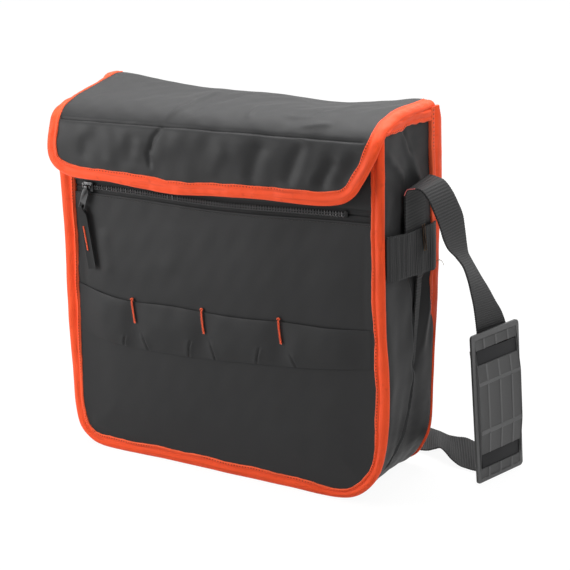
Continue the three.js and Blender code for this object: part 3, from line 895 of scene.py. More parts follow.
@dataclass(frozen=True)
class HookLoop(Finish):
    """Hook-and-loop tape: a dense felt of small loops."""

    def dress(self, graph: Graph) -> None:
        """Loops as fine lumpy noise.

        Args:
            graph: The material's graph.
        """
        place = graph.place()
        loops = graph.noise(place, 1500.0, 4.0)
        cloud = graph.noise(place, 120.0, 3.0)
        graph.surface({
            "Base Color": self.tone(graph, loops, 0.4, 1.7),
            "Roughness": cloud * 0.1 + (self.roughness - 0.05),
            "Specular IOR Level": 0.15,
            "Sheen Weight": 0.3,
            "Normal": graph.bump(loops, 0.0006),
        })


@dataclass
class Palette:
    """Every finish of the bag, built once."""

    cloth: Material
    lining: Material
    tape: Material
    thread: Material
    dark_thread: Material
    dull_thread: Material
    melted: Material
    webbing: Material
    zip_tape: Material
    zip_coil: Material
    metal: Material
    dark_metal: Material
    hooks: Material
    ribbed_rubber: Material
    buckle: Material
    board: Material

    @classmethod
    def build(cls) -> Palette:
        """Makes the materials.

        Returns:
            The palette.
        """
        grey = (0.0165, 0.0165, 0.017)
        orange = (0.885, 0.076, 0.012)
        return cls(
            cloth=CoatedCloth("coated_nylon", grey, 0.58).build(),
            lining=CoatedCloth("lining_nylon", (0.02, 0.02, 0.021), 0.7, weave=1.2).build(),
            tape=EdgeTape("orange_edge_tape", orange, 0.62).build(),
            thread=Yarn("orange_thread", (0.86, 0.11, 0.03), 0.6).build(),
            dark_thread=Yarn("dark_thread", (0.03, 0.028, 0.027), 0.7).build(),
            dull_thread=Yarn("dull_thread", (0.2, 0.1, 0.03), 0.7).build(),
            melted=Yarn("melted_edge", (0.75, 0.16, 0.15), 0.5).build(),
            webbing=Webbing("ribbed_webbing", (0.026, 0.026, 0.0265), 0.62).build(),
            zip_tape=Webbing(
                "zip_tape_weave", (0.014, 0.014, 0.0145), 0.72, pitch=1.1, depth=0.0001
            ).build(),
            zip_coil=Moulding("zip_coil_nylon", (0.1, 0.1, 0.102), 0.34).build(),
            metal=Moulding("gunmetal", (0.075, 0.075, 0.076), 0.46, metallic=1.0, worn=0.3).build(),
            dark_metal=Moulding("dark_stop_metal", (0.02, 0.02, 0.02), 0.5, metallic=1.0).build(),
            hooks=HookLoop("hook_and_loop", (0.025, 0.025, 0.026), 0.9).build(),
            ribbed_rubber=RibbedRubber("pad_rubber", (0.05, 0.05, 0.0505), 0.56).build(),
            buckle=Moulding("buckle_plastic", (0.03, 0.03, 0.031), 0.42).build(),
            board=Moulding("base_board_plastic", (0.05, 0.05, 0.052), 0.5, grain=500.0).build(),
        )


FRONT_FACE = -49.0
BACK_FACE = 49.0
FRONT_TOP = 313.0
FRONT_LEFT = (
    (-162.3, 313), (-162.2, 280), (-161.5, 241), (-160.9, 201), (-162.5, 160), (-164.1, 110),
    (-165.6, 61), (-164.8, 32), (-160.3, 15.5), (-151.4, 6.3), (-139.7, 1.2),
)
FRONT_RIGHT = (
    (163.4, 313), (163.2, 276), (162.8, 232.7), (163.2, 194.6), (163.8, 150), (166, 120),
    (166.2, 93.4), (165.2, 73), (161.4, 48), (155.4, 29), (144.6, 14), (132, 5), (114.5, 1),
)
BACK_LEFT = (
    (-163.4, 321), (-164.4, 290), (-164, 250), (-163.5, 200), (-163, 137), (-162.5, 80),
    (-160.5, 40), (-153, 20), (-141, 7), (-124, 1),
)
BACK_RIGHT = (
    (164.4, 321), (165.2, 262), (164.4, 200), (162.6, 137), (160.6, 82), (158, 38.8),
    (152, 23), (143, 10), (124, 1),
)
LOW_EDGE = ((-60, 0.6), (20, 0.5), (70, 0.6))
FRONT_EDGE = Rail((*FRONT_LEFT, *LOW_EDGE, *reversed(FRONT_RIGHT)))
BACK_EDGE = Rail((*BACK_LEFT, *LOW_EDGE, *reversed(BACK_RIGHT)))


@dataclass(frozen=True)
class Ladder:
    """A piece of cloth between a left and a right edge, its rows straight from one to the other."""

    left: Rail
    right: Rail
    inset: float = 5.0

    def at(self, u: Array, v: Array) -> Pair:
        """Pattern coordinates at shares across, and from the top down.

        Args:
            u: Shares across.
            v: Shares down.

        Returns:
            The two coordinates.
        """
        near = self.left.at(v, self.inset)
        far = self.right.at(v, -self.inset)
        low = self.inset * rise(v, 0.85, 1.0)
        spots = near + (far - near) * u[:, None]
        return spots[:, 0], spots[:, 1] + low * 0.6


@dataclass(frozen=True)
class TapeFold:
    """The closed section of a tape folded over an edge.

    Each pair is a distance in from the edge and a height above the cloth's face.
    """

    points: Line = (
        (12, -0.8), (11.9, 0.4), (11.2, 0.85), (10, 0.85), (9.2, 0.5), (8.6, 0.2), (8, 0.4),
        (6.6, 0.95), (4.6, 1.25), (2.6, 0.95), (1, 0), (0.1, -1.3), (0.2, -2.6), (1.4, -3.5),
        (4, -4), (8, -4.1), (11.4, -3.7), (12, -2.6), (12, -0.8),
    )

    @cached_property
    def loop(self) -> Array:
        """The section as a smooth loop."""
        return through(np.array(self.points), 2)

    @property
    def around(self) -> int:
        """How many faces go round the section."""
        return len(self.loop) - 1

    def at(self, u: Array) -> Pair:
        """Distance in and height at each share round the section."""
        row = np.rint(u * self.around).astype(int) % self.around
        return self.loop[row, 0], self.loop[row, 1]


@dataclass
class FrontPocket:
    """The front: its inner wall, the zipped pocket's cloth, the strip above and the edge tape."""

    palette: Palette
    mouth_low: float = 243.5
    mouth_high: float = 254.5
    strip_left: float = -157.5
    strip_wide: float = 315.5
    hem_left: float = -156.0
    hem_wide: float = 313.0
    inner_face: float = -46.3
    strip_top: float = 306.0
    plain_top: float = 150.0
    sag: float = 3.5
    fullness: float = 2.6

    def droop(self, x: Array) -> Array:
        """How far the zip hangs in its middle."""
        return -self.sag * hump(x, 10.0, 85.0)

    def free(self, x: Array, z: Array, near: float, far: float) -> Array:
        """0 under the edge tape and 1 well inside it."""
        return rise(np.minimum(160.0 - np.abs(x), z - 1.0), near, far)

    def puff(self, x: Array, z: Array) -> Array:
        """How far the pocket's cloth stands out.

        Args:
            x: Places across.
            z: Heights.

        Returns:
            A distance for each.
        """
        low = 1.0 - rise(z, 170.0, 243.0)
        wave = 0.55 * crumple(x, z, 130.0, 4) + 0.12 * crumple(x, z, 26.0, 5)
        ridge = 0.9 * hump(x, 52.0 + (z - 200.0) * 0.15, 26.0) * rise(z, 120.0, 200.0)
        return self.free(x, z, 11.0, 52.0) * (self.fullness * low + wave + ridge)

    def face(self, x: Array, z: Array, height: Array | float = 0.0) -> Array:
        """Points on the pocket's cloth, at a height in front of it."""
        return stack((x, FRONT_FACE - self.puff(x, z) - height, z))

    def build(self) -> None:
        """Makes the pieces of the front."""
        self.build_cloth()
        self.build_edge()

    def build_cloth(self) -> None:
        """The pocket's cloth, the strip above the zip, and the wall behind both."""
        ladder = Ladder(Rail(FRONT_LEFT), Rail(FRONT_RIGHT))
        folds = (
            Fold(((-149, 30), (-120, 17), (-80, 15)), 0.8, 6.0),
            Fold(((-60, 13), (10, 16), (60, 14)), -0.5, 5.0),
            Fold(((150, 240), (146, 180), (150, 120)), -0.7, 4.5),
            Fold(((-147, 236), (-142, 180), (-146, 110)), -0.8, 4.0),
            Fold(((-118, 214), (-112, 168)), 0.7, 6.0),
            Fold(((-36, 226), (-48, 176)), 0.6, 9.0),
            Fold(((-60, 98), (10, 52), (90, 40)), 0.5, 14.0),
        )

        def panel(u: Array, v: Array) -> Pair:
            """The pocket's cloth up to the zip.

            Args:
                u: Shares across.
                v: Shares along.

            Returns:
                Flat and solid places.
            """
            share = 1.0 - v
            x, z = ladder.at(u, share)
            top = self.mouth_low + self.droop(x)
            plain = self.plain_top
            z = np.where(z > plain, plain + (z - plain) * (top - plain) / (FRONT_TOP - plain), z)
            height = relief_of(folds, x, z) * self.free(x, z, 11.0, 20.0)
            return stack((x, z)), self.face(x, z, height)

        shape = Shape("pocket_cloth")
        shape.cloth(170, 150, panel, (0, -1, 0))
        shape.finish(self.palette.cloth, Slot.CLOTH, ("pocket_panel",), wall=1.1)

        def strip(u: Array, v: Array) -> Pair:
            """The strip between the zip and the top hem.

            Args:
                u: Shares across.
                v: Shares along.

            Returns:
                Flat and solid places.
            """
            x = self.strip_left + self.strip_wide * u
            z = self.mouth_high + self.droop(x) * (1 - v) + v * (self.strip_top - self.mouth_high)
            y = FRONT_FACE + 0.1 - 0.4 * crumple(x, z, 60.0, 7) * v
            return stack((x, z)), stack((x, y, z))

        shape = Shape("pocket_top_cloth")
        shape.cloth(90, 18, strip, (0, -1, 0))
        shape.finish(self.palette.cloth, Slot.CLOTH, ("pocket_top_strip",), wall=1.1)

        def wall(u: Array, v: Array) -> Pair:
            """The wall between the pocket and the bag's inside.

            Args:
                u: Shares across.
                v: Shares along.

            Returns:
                Flat and solid places.
            """
            x, z = ladder.at(u, 1.0 - v)
            z = z * (self.strip_top / FRONT_TOP)
            return stack((x, z)), stack((x, self.inner_face - 0.3 * crumple(x, z, 70.0, 9), z))

        shape = Shape("front_inner_wall")
        shape.cloth(60, 60, wall, (0, -1, 0))
        shape.finish(self.palette.lining, Slot.CLOTH, ("front_wall",), wall=1.4)

        def hem(u: Array, v: Array) -> Pair:
            """The tape over the front's top edge.

            Args:
                u: Shares across.
                v: Shares along.

            Returns:
                Flat and solid places.
            """
            across, up = TapeFold().at(u)
            x = self.hem_left + self.hem_wide * v
            crown = FRONT_TOP - 1.0 - 2.0 * rise(np.abs(x), 120.0, 157.0)
            return stack((x, across)), stack((x, FRONT_FACE - up * 0.9, crown - across))

        shape = Shape("front_top_tape")
        shape.sweep(TapeFold().around, 120, hem)
        shape.finish(self.palette.tape, Slot.EDGE_TAPE, ("front_top_hem",))

    def build_edge(self) -> None:
        """The orange tape round the front."""
        section = TapeFold()
        edge = FRONT_EDGE

        def tape(u: Array, v: Array) -> Pair:
            """Follows the outline, uneven as sewn.

            Args:
                u: Shares across.
                v: Shares along.

            Returns:
                Flat and solid places.
            """
            inward, height = section.at(u)
            reach = v * edge.length
            spots = edge.spot(reach)
            across, up = spots.T
            right = rise(across, 100.0, 150.0)
            wide = 1.0 + 0.04 * crumple(reach, 0.0, 34.0, 11)
            wide += right * (0.08 * (1.0 - rise(up, 115.0, 150.0)) - 0.12 * hump(up, 145.0, 14.0))
            wide -= 0.34 * rise(across, 60.0, 130.0) * (1.0 - rise(up, 30.0, 84.0))
            left = rise(-across, 120.0, 150.0) * rise(up, 60.0, 130.0)
            wide += left * (0.09 + 0.12 * rise(up, 200.0, 240.0))
            plump = 1.0 + 0.22 * crumple(reach, inward * 2.0, 21.0, 12) * rise(height, -0.5, 0.4)
            ragged = rise(inward, 10.5, 12.0) * 0.16 * crumple(reach, 0.0, 9.0, 13)
            out = edge.left(reach) * (inward * wide + ragged)[:, None] + spots
            rolls = 1.4 * left * (1.0 - 1.03 * hump(inward, 7.9, 1.8)) * (1.0 - rise(inward, 10.4, 11.6))
            height = height * plump + rolls * rise(height, -0.5, 0.4)
            y = FRONT_FACE + 0.1 - height - self.puff(out[:, 0], out[:, 1])
            y = y - 0.3 * np.abs(crumple(reach, 0.0, 60.0, 14))
            slip = 0.9 * right * rise(up, 30.0, 90.0) + 1.9 * left
            x = out[:, 0] - slip * (1.0 - rise(inward, 3.0, 9.0))
            return stack((reach, inward)), stack((x, y, out[:, 1]))

        shape = Shape("front_edge_tape")
        shape.sweep(section.around, 400, tape)
        shape.finish(self.palette.tape, Slot.EDGE_TAPE, ("front_binding",))


@dataclass
class ToolBand:
    """The band of tool loops across the front, tacked down at three places."""

    palette: Palette
    front: FrontPocket
    tacks: tuple[float, ...] = (-86.2, -11.4, 66.1)
    top: Rail = Rail((
        (-156, 161.5), (-149, 158.5), (-125, 153), (-92, 149), (-48, 150.2), (-13, 149.5),
        (25, 149.4), (66, 151.6), (113, 152.2), (157, 155.3),
    ))
    low: Rail = Rail((
        (-156, 114.5), (-147, 113), (-129, 109), (-100, 106), (-45, 105.6), (-10, 107),
        (45, 111), (84, 113.8), (157, 122.5),
    ))
    loop_rise: float = 2.5

    def stand_off(self, x: Array, v: Array) -> Array:
        """How far the band stands off the pocket's cloth.

        Args:
            x: Places across.
            v: Shares of the band's height.

        Returns:
            A distance for each.
        """
        held = sum(hump(x, tack, 11.0) for tack in self.tacks)
        ends = rise(np.abs(x), 118.0, 149.0)
        loose = self.loop_rise * (1.0 - np.clip(held, 0.0, 1.0)) * (1.0 - ends)
        middle = np.sin(math.pi * np.clip(v, 0.0, 1.0)) ** 0.7
        tucked = 0.9 * rise(np.abs(x), 148.5, 153.5)
        return 0.5 + 0.5 * (1.0 - ends) + loose * (0.18 + 0.82 * middle) - tucked

    def build(self) -> None:
        """Makes the band and its bartacks."""
        pleats = (
            ((-79.5, 122.5), (-77.2, 118.9), (-70.6, 104)),
            ((-96, 118), (-97.6, 112), (-99.3, 104)),
            ((-24, 124), (-26.6, 116), (-28.2, 104)),
            ((-6, 125), (-2.1, 115.1), (1.2, 105)),
            ((74.5, 126), (77, 122), (83, 111)),
            ((47, 128), (44, 118), (41.9, 108)),
        )
        folds = [Fold(line, -1.3, 0.9, fade=5) for line in pleats]
        folds += [Fold(line, 0.8, 4.0, fade=6) for line in pleats]

        def band(u: Array, v: Array) -> Pair:
            """The band, from its lower edge to its top.

            Args:
                u: Shares across.
                v: Shares along.

            Returns:
                Flat and solid places.
            """
            high, low = self.top.at(u), self.low.at(u)
            spots = low + (high - low) * v[:, None]
            x, z = spots[:, 0], spots[:, 1]
            soft = 0.14 * crumple(x, z, 22.0, 21) * (1.0 - rise(np.abs(x), 120.0, 147.0))
            height = self.stand_off(x, v) + relief_of(folds, x, z) + soft
            return stack((x, z)), self.front.face(x, z, height)

        shape = Shape("tool_band_cloth")
        shape.cloth(300, 44, band, (0, -1, 0))
        shape.finish(self.palette.cloth, Slot.CLOTH, ("tool_loop_band",), wall=0.8)
        names = ("left", "middle", "right")
        leans = (2.2, 1.6, 2.0)
        for name, tack, lean in zip(names, self.tacks, leans, strict=True):
            self.build_tack(name, tack, lean)

    def build_tack(self, name: str, x: float, lean: float) -> None:
        """A dense zigzag of orange thread over a band's top edge.

        Args:
            name: Which one it is.
            x: Where it is across the front.
            lean: How far its foot is to the right of its head.
        """
        crown = float(np.interp(x, self.top.track[0][:, 0], self.top.track[0][:, 1])) + 2.6
        turns = 46
        share = np.linspace(0.0, 1.0, turns)
        side = np.where(np.arange(turns) % 2, 0.85, -0.85)
        along = share**0.97
        across = x + lean * along**1.6 + side - 0.7
        down = crown - 21.6 * along
        off = self.stand_off(np.full(turns, x), np.clip(1.0 - along, 0, 1)) + 0.75
        off = off * rise(along, -0.02, 0.1) + 0.75
        stitches = self.front.face(across, down, off)
        shape = Shape(f"band_tack_{name}")
        shape.tube(stitches, 0.5, 6)
        base = self.front.face(x + lean * along**1.6 - 0.7, down, off - 0.35)
        shape.tube(base, 0.72, 6)
        knot = np.linspace(0.0, 1.6 * math.tau, 22)
        curl = self.front.face(
            x - 0.9 + 1.0 * np.cos(knot), crown - 0.2 + 0.9 * np.sin(knot), 1.0 + 0.12 * knot
        )
        shape.tube(curl, 0.45, 6)
        shape.finish(self.palette.thread, Slot.THREAD, (f"loop_bartack_{name}",))


@dataclass
class PocketZip:
    """The pocket's zip: tapes, coil, stops, slider, pull tab and ribbon."""

    palette: Palette
    front: FrontPocket
    nodes: Mapping[str, Node]
    middle: float = 249.0
    start: float = -135.0
    end: float = 127.0
    coil_pitch: float = 2.6
    coil_face: float = -48.6
    tape_left: float = -157.0
    tape_wide: float = 314.0
    tape_face: float = -47.6
    shift: float = -7.4
    ribbon_length: float = 125.0
    ribbon_head: Place = (-129.93, -53.0, 229.97)
    ribbon_lean: float = 8.5

    def line(self, x: Array) -> Array:
        """The zip's height at each place across."""
        return self.middle + self.front.droop(x)

    def build(self) -> None:
        """Makes every piece of the zip."""
        self.build_tapes()
        for side, name in ((1, "upper"), (-1, "lower")):
            self.build_coil(side, name)
        self.build_pull()

    def build_tapes(self) -> None:
        """The two woven tapes behind the pocket's mouth, and the stitching below them."""
        for side, name in ((1, "upper"), (-1, "lower")):

            def tape(u: Array, v: Array, side: int = side) -> Pair:
                """One tape from its coil out."""
                x = self.tape_left + self.tape_wide * u
                across = 0.6 + 13.4 * v
                z = self.line(x) + side * across
                y = self.tape_face + 0.12 * np.sin(across * 2.2) + 0.1 * crumple(x, z, 40.0, 31)
                return stack((x, across)), stack((x, y, z))

            shape = Shape(f"zip_{name}_tape")
            shape.cloth(140, 14, tape, (0, -1, 0))
            shape.finish(self.palette.zip_tape, Slot.ZIP_NYLON, (f"zip_tape_{name}",), wall=0.6)
        shape = Shape("zip_seam_stitches")
        for x in np.arange(-150.0, 150.0, SEAM_PITCH):
            run = np.linspace(x, x + 2.4, 5)
            z = self.front.mouth_low - 2.0 + self.front.droop(run)
            bow = 0.25 + 0.3 * np.sin(np.linspace(0.0, math.pi, 5))
            shape.tube(self.front.face(run, z, bow), 0.24, 4)
        shape.finish(self.palette.dark_thread, Slot.THREAD)

    def build_coil(self, side: int, name: str) -> None:
        """One row of the closed coil.

        Args:
            side: 1 for the upper row, -1 for the lower.
            name: The row's CAD node.
        """
        turns = int((self.end - self.start) / self.coil_pitch)
        turn = np.linspace(0.0, turns * math.tau, turns * 8 + 1)
        x = np.linspace(self.start, self.end, len(turn))
        z = self.line(x) + side * (1.05 + 0.95 * np.cos(turn + (math.pi if side < 0 else 0.0)))
        spine = stack((x, self.coil_face - 0.7 * np.sin(turn), z))
        shape = Shape(f"zip_{name}_coil")
        shape.tube(spine, 0.46, 5)
        shape.finish(self.palette.zip_coil, Slot.ZIP_NYLON, (f"zip_coil_{name}",))

    def build_pull(self) -> None:
        """The stops, the slider, the tab and the ribbon through it."""
        for name, body, bevel in (
            ("zip_stop_left", "bag", 0.4),
            ("zip_stop_right", "bag", 0.4),
            ("zip_slider", "slider", 0.45),
            ("pull_tab", "tab", 0.3),
        ):
            shape = Shape(f"{name}_metal")
            shape.copy(self.nodes[name], bevel)
            across = 0.0 if name == "zip_stop_right" else self.shift
            bmesh.ops.translate(shape.mesh, verts=shape.mesh.verts[:], vec=(across * MM, 0.0, 0.0))
            # The right stop is given a darker metal than the other zip metal.
            finish = self.palette.dark_metal if name == "zip_stop_right" else self.palette.metal
            shape.finish(finish, Slot.ZIP_METAL, (name,), body)
        lean = math.radians(self.ribbon_lean)
        head = np.array(self.ribbon_head) + np.array((self.shift, 0.0, 0.0))
        across = np.array((math.cos(lean), 0.0, math.sin(lean)))
        down = np.array((math.sin(lean), 0.0, -math.cos(lean)))
        forward = np.array((0.0, -1.0, 0.0))
        layer = Rail((
            (54.8, -0.15), (40, -0.3), (20, -0.6), (8, -0.9), (2.4, -1.7), (-1.2, -1.9), (-2.45, 0),
            (-1.2, 1.9), (2.4, 1.7), (8, 1), (20, 0.8), (40, 0.75), (56, 0.8),
        ))

        def ribbon(u: Array, v: Array) -> Pair:
            """A strip that runs up the back, through the tab's slot and down the front.

            Args:
                u: Shares across.
                v: Shares along.

            Returns:
                Flat and solid places.
            """
            spots = layer.at(v)
            near = spots[:, 0]
            neck = 1.35 + 2.75 * rise(near, 1.0, 7.0)
            side = (u - 0.5) * 2.0 * neck
            curl = 0.35 * (u - 0.5) ** 2 * 4.0 * rise(near, 8.0, 40.0)
            out = spots[:, 1] + curl
            points = head + across * side[:, None] + down * near[:, None] + forward * out[:, None]
            return stack((v * self.ribbon_length, side)), points

        shape = Shape("pull_ribbon_cloth")
        shape.cloth(12, 110, ribbon, (0, -1, 0))
        shape.finish(self.palette.zip_tape, Slot.CLOTH, ("pull_ribbon",), "ribbon", wall=0.55)
        turns = 30
        share = np.linspace(17.0, 39.0, turns)
        side = np.where(np.arange(turns) % 2, 0.5, -0.5)
        row = head + across * (side - 1.2)[:, None] + down * share[:, None] + forward * 1.25
        spine = head + across * -1.2 + down * share[:, None] + forward * 1.05
        shape = Shape("pull_ribbon_stitch")
        shape.tube(row, 0.5, 5)
        shape.tube(spine, 0.72, 5)
        shape.finish(self.palette.thread, Slot.THREAD, ("ribbon_stitch",), "ribbon")


@dataclass
class Sides:
    """The gusset round the sides and base, its top hems, and the base board."""

    palette: Palette
    half: float = 47.0
    hem_side: float = 163.6
    hem_foot: float = 313.6
    recess: float = 2.6
    length: float = 930.0
    closer: float = 0.45
    right_folds: tuple[Fold, ...] = (
        Fold(((4.9, 84), (5.7, 98), (6, 116), (5, 145), (3, 177), (-2, 194)),
             -4.6, 1.5, step=3.2, spread=20, fade=20),
        Fold(((-40, 26), (-21, 36), (-9, 48), (2, 70), (5.4, 91), (6, 120)),
             -2.2, 1.0, fade=22),
        Fold(((-35, 25), (-17.5, 37.5), (-4.8, 51.5), (4, 72), (7.6, 95), (8.4, 118),
              (7.5, 160)), 1.2, 1.5, fade=10),
        Fold(((6, 100), (9, 113), (16, 131), (23, 149), (28, 166), (31, 190)),
             -6.0, 4.6, fade=16),
        Fold(((33, 195), (33, 150), (24, 112)), 1.5, 5.0, fade=16),
        Fold(((-48, 299), (-25, 286), (-8, 268)), 1.7, 4.5, fade=14),
        Fold(((-12, 312), (14, 270), (20, 252)), 1.9, 5.5, fade=12),
        Fold(((-11, 316), (-4, 303), (6, 288)), -1.6, 2.6, fade=9),
        Fold(((-30, 246), (-6, 252), (20, 262)), 0.9, 7.0, fade=14),
    )
    left_folds: tuple[Fold, ...] = (
        Fold(((38, 32), (20, 46), (8, 74), (2, 118), (4, 160), (10, 190)),
             -1.4, 1.6, step=1.4, spread=20, fade=10),
        Fold(((-6, 100), (-14, 140), (-22, 176)), -3.4, 4.4, fade=16),
        Fold(((-44, 296), (-14, 276)), 1.5, 5.0, fade=14),
        Fold(((8, 314), (-10, 268)), 1.7, 5.5, fade=14),
    )

    def skin(self, share: Array, y: Array, sunk: Array | float) -> Array:
        """Points on the gusset.

        Args:
            share: How far round the bag from the top of its left side.
            y: How far back.
            sunk: How far inward of the line between the two edges.

        Returns:
            The points.
        """
        back = np.clip((y + self.half) / (2 * self.half), 0.0, 1.0)
        front_in = FRONT_EDGE.left(share * FRONT_EDGE.length)
        spots = FRONT_EDGE.at(share) * (1 - back)[:, None] + BACK_EDGE.at(share) * back[:, None]
        spots = spots + front_in * np.reshape(sunk * np.ones(len(y)), (-1, 1))
        return stack((spots[:, 0], y, spots[:, 1]))

    def build(self) -> None:
        """Makes the gusset, hems and board."""

        def gusset(u: Array, v: Array) -> Pair:
            """The long strip from the front's edge to the back's.

            Args:
                u: Shares across.
                v: Shares along.

            Returns:
                Flat and solid places.
            """
            y = (u - 0.5) * 2.0 * self.half
            v = v - self.closer / (6.0 * math.pi) * np.sin(6.0 * math.pi * v)
            flat = self.skin(v, y, 0.0)
            x, z = flat[:, 0], flat[:, 2]
            upright = rise(z, 8.0, 30.0)
            bowl = self.recess * np.cos(y / self.half * math.pi / 2) ** 2
            bowl = bowl * (0.4 + 0.6 * rise(z, 20.0, 60.0))
            relief = np.where(
                x > 0, relief_of(self.right_folds, y, z), relief_of(self.left_folds, y, z)
            )
            seam = 1.6 + 0.7 * rise(np.abs(y), self.half - 5.0, self.half)
            along = v * self.length
            soft = 0.35 * crumple(y, along, 34.0, 41) + 0.1 * crumple(y, along, 11.0, 42)
            fade = 1.0 - rise(np.abs(y), self.half - 9.0, self.half)
            sunk = seam + bowl - (relief * upright + soft) * fade
            return stack((y, along)), self.skin(v, y, sunk)

        shape = Shape("gusset_cloth")
        shape.grid(112, 400, gusset)
        self.turn_outward(shape)
        shape.finish(self.palette.cloth, Slot.CLOTH, ("gusset",), wall=2.4)
        for side, name in ((1, "right"), (-1, "left")):
            self.build_hem(side, name)
        shape = Shape("base_board_plate")
        shape.block((-134.0, -40.0, 6.4), (124.0, 40.0, 8.4), 0.6, Matrix())
        shape.finish(self.palette.board, Slot.BOARD, ("base_board",))

    def turn_outward(self, shape: Shape) -> None:
        """Turns the gusset's faces away from the bag's middle.

        Args:
            shape: The gusset.
        """
        shape.mesh.normal_update()
        middle = Vector(spot(0.0, 0.0, 170.0))
        outward = sum(face.normal.dot(face.calc_center_median() - middle) for face in shape.mesh.faces)
        if outward < 0:
            bmesh.ops.reverse_faces(shape.mesh, faces=shape.mesh.faces[:])

    def build_hem(self, side: int, name: str) -> None:
        """The tape over the top of one side.

        Args:
            side: 1 on the right and -1 on the left.
            name: Its side's name.
        """
        section = TapeFold((
            (0, -1), (0.1, 0.5), (1.2, 1.1), (3, 0.5), (4.4, 0.8), (7.4, 1.3), (9.6, 0.6),
            (10.6, -0.8), (10.4, -2.4), (9, -3.6), (5, -4), (1, -3.8), (0, -2.6), (0, -1),
        ))

        def hem(u: Array, v: Array) -> Pair:
            """Runs from the front's tape to the back's, gathered a little.

            Args:
                u: Shares across.
                v: Shares along.

            Returns:
                Flat and solid places.
            """
            up, out = section.at(u)
            y = -47.5 + 94.0 * v
            foot = self.hem_foot + 2.4 * hump(y, -3.0, 14.0) - 1.0 * hump(y, -24.0, 9.0)
            foot = foot + 0.5 * crumple(y, 0.0, 13.0, 51) - 1.2 * rise(y, 20.0, 46.0)
            wavy = 1.0 + 0.16 * crumple(y, up * 1.5, 15.0, 52)
            foot = foot - (4.5 if side < 0 else 0.0)
            x = side * (self.hem_side + out * wavy - 0.4 * np.cos(y / 15.0))
            top = 1.0 - 0.1 * rise(up, 4.0, 9.0)
            top = top * (0.42 + 0.58 * rise(y, -46.0, -30.0))
            return stack((y, 12.0 - up)), stack((x, y, foot + up * top))

        shape = Shape(f"side_hem_{name}")
        shape.sweep(section.around, 90, hem)
        shape.finish(self.palette.tape, Slot.EDGE_TAPE, (f"gusset_hem_{name}",))


@dataclass
class BackPanel:
    """The back wall and the tape round it."""

    palette: Palette
    corner: float = 50.0
    straight: float = 115.0

    def build(self) -> None:
        """Makes the wall and its tape."""
        ladder = Ladder(Rail(BACK_LEFT), Rail(BACK_RIGHT), inset=3.0)
        folds = (
            Fold(((-120, 250), (-60, 262), (0, 256)), 0.7, 9.0),
            Fold(((30, 120), (90, 108)), 0.6, 10.0),
            Fold(((-110, 60), (-40, 50)), 0.6, 9.0),
        )

        def wall(u: Array, v: Array) -> Pair:
            """The wall, slightly full.

            Args:
                u: Shares across.
                v: Shares along.

            Returns:
                Flat and solid places.
            """
            x, z = ladder.at(u, 1.0 - v)
            z = z - 5.0 * rise(z, 280.0, 321.0)
            side = np.clip(1.0 - (x / 158.0) ** 2, 0.0, 1.0)
            full = 1.2 * side * rise(z, 0.0, 80.0) + 0.4 * crumple(x, z, 90.0, 61)
            y = BACK_FACE + 0.3 + (full + relief_of(folds, x, z)) * (1.0 - rise(z, 270.0, 300.0))
            past = np.clip(np.abs(x) - self.straight, 0.0, None)
            border = self.corner - np.hypot(past, np.clip(self.corner - z, 0.0, None))
            y = y - 1.3 * (1.0 - rise(border, 9.0, 24.0)) * (1.0 - rise(z, 60.0, 110.0))
            return stack((x, z)), stack((x, y, z))

        shape = Shape("back_cloth")
        shape.cloth(110, 110, wall, (0, 1, 0))
        shape.finish(self.palette.cloth, Slot.CLOTH, ("back_panel",), wall=2.6)
        section = TapeFold()
        edge = BACK_EDGE

        def tape(u: Array, v: Array) -> Pair:
            """Turns from facing sideways at the top to facing back lower down.

            Args:
                u: Shares across.
                v: Shares along.

            Returns:
                Flat and solid places.
            """
            inward, height = section.at(u)
            reach = v * edge.length
            spots = edge.spot(reach)
            level = spots[:, 1]
            turn = 0.36 * rise(level, 10.0, 60.0) + 0.64 * rise(level, 108.0, 152.0)
            turn = turn * math.radians(88.0)
            upper = rise(level, 236.0, 262.0)
            wide = 1.0 + 0.05 * crumple(reach, 0.0, 30.0, 63)
            wide = wide * (1.0 + (0.36 + 0.26 * upper) * rise(turn, 0.7, 1.4))
            plump = 1.0 + 0.2 * crumple(reach, inward * 2.0, 20.0, 64) * rise(height, -0.5, 0.4)
            across, up = inward * wide, height * plump
            inner = across * np.cos(turn) - up * np.sin(turn)
            forward = across * np.sin(turn) + up * -np.cos(turn)
            out = edge.left(reach) * (inner + (0.9 - 1.7 * upper) * np.sin(turn))[:, None] + spots
            y = 50.0 - 0.8 + 2.4 * rise(turn, 0.3, 1.4) - forward
            y = y - 4.5 * rise(out[:, 1], 309.0, 322.0) * rise(y, 42.0, 51.0)
            z = out[:, 1] + 3.4 * rise(out[:, 1], 300.0, 321.0) * rise(out[:, 0], 0.0, 1.0)
            return stack((reach, inward)), stack((out[:, 0], y, z))

        shape = Shape("back_edge_tape")
        shape.sweep(section.around, 380, tape)
        shape.finish(self.palette.tape, Slot.EDGE_TAPE, ("back_binding",))


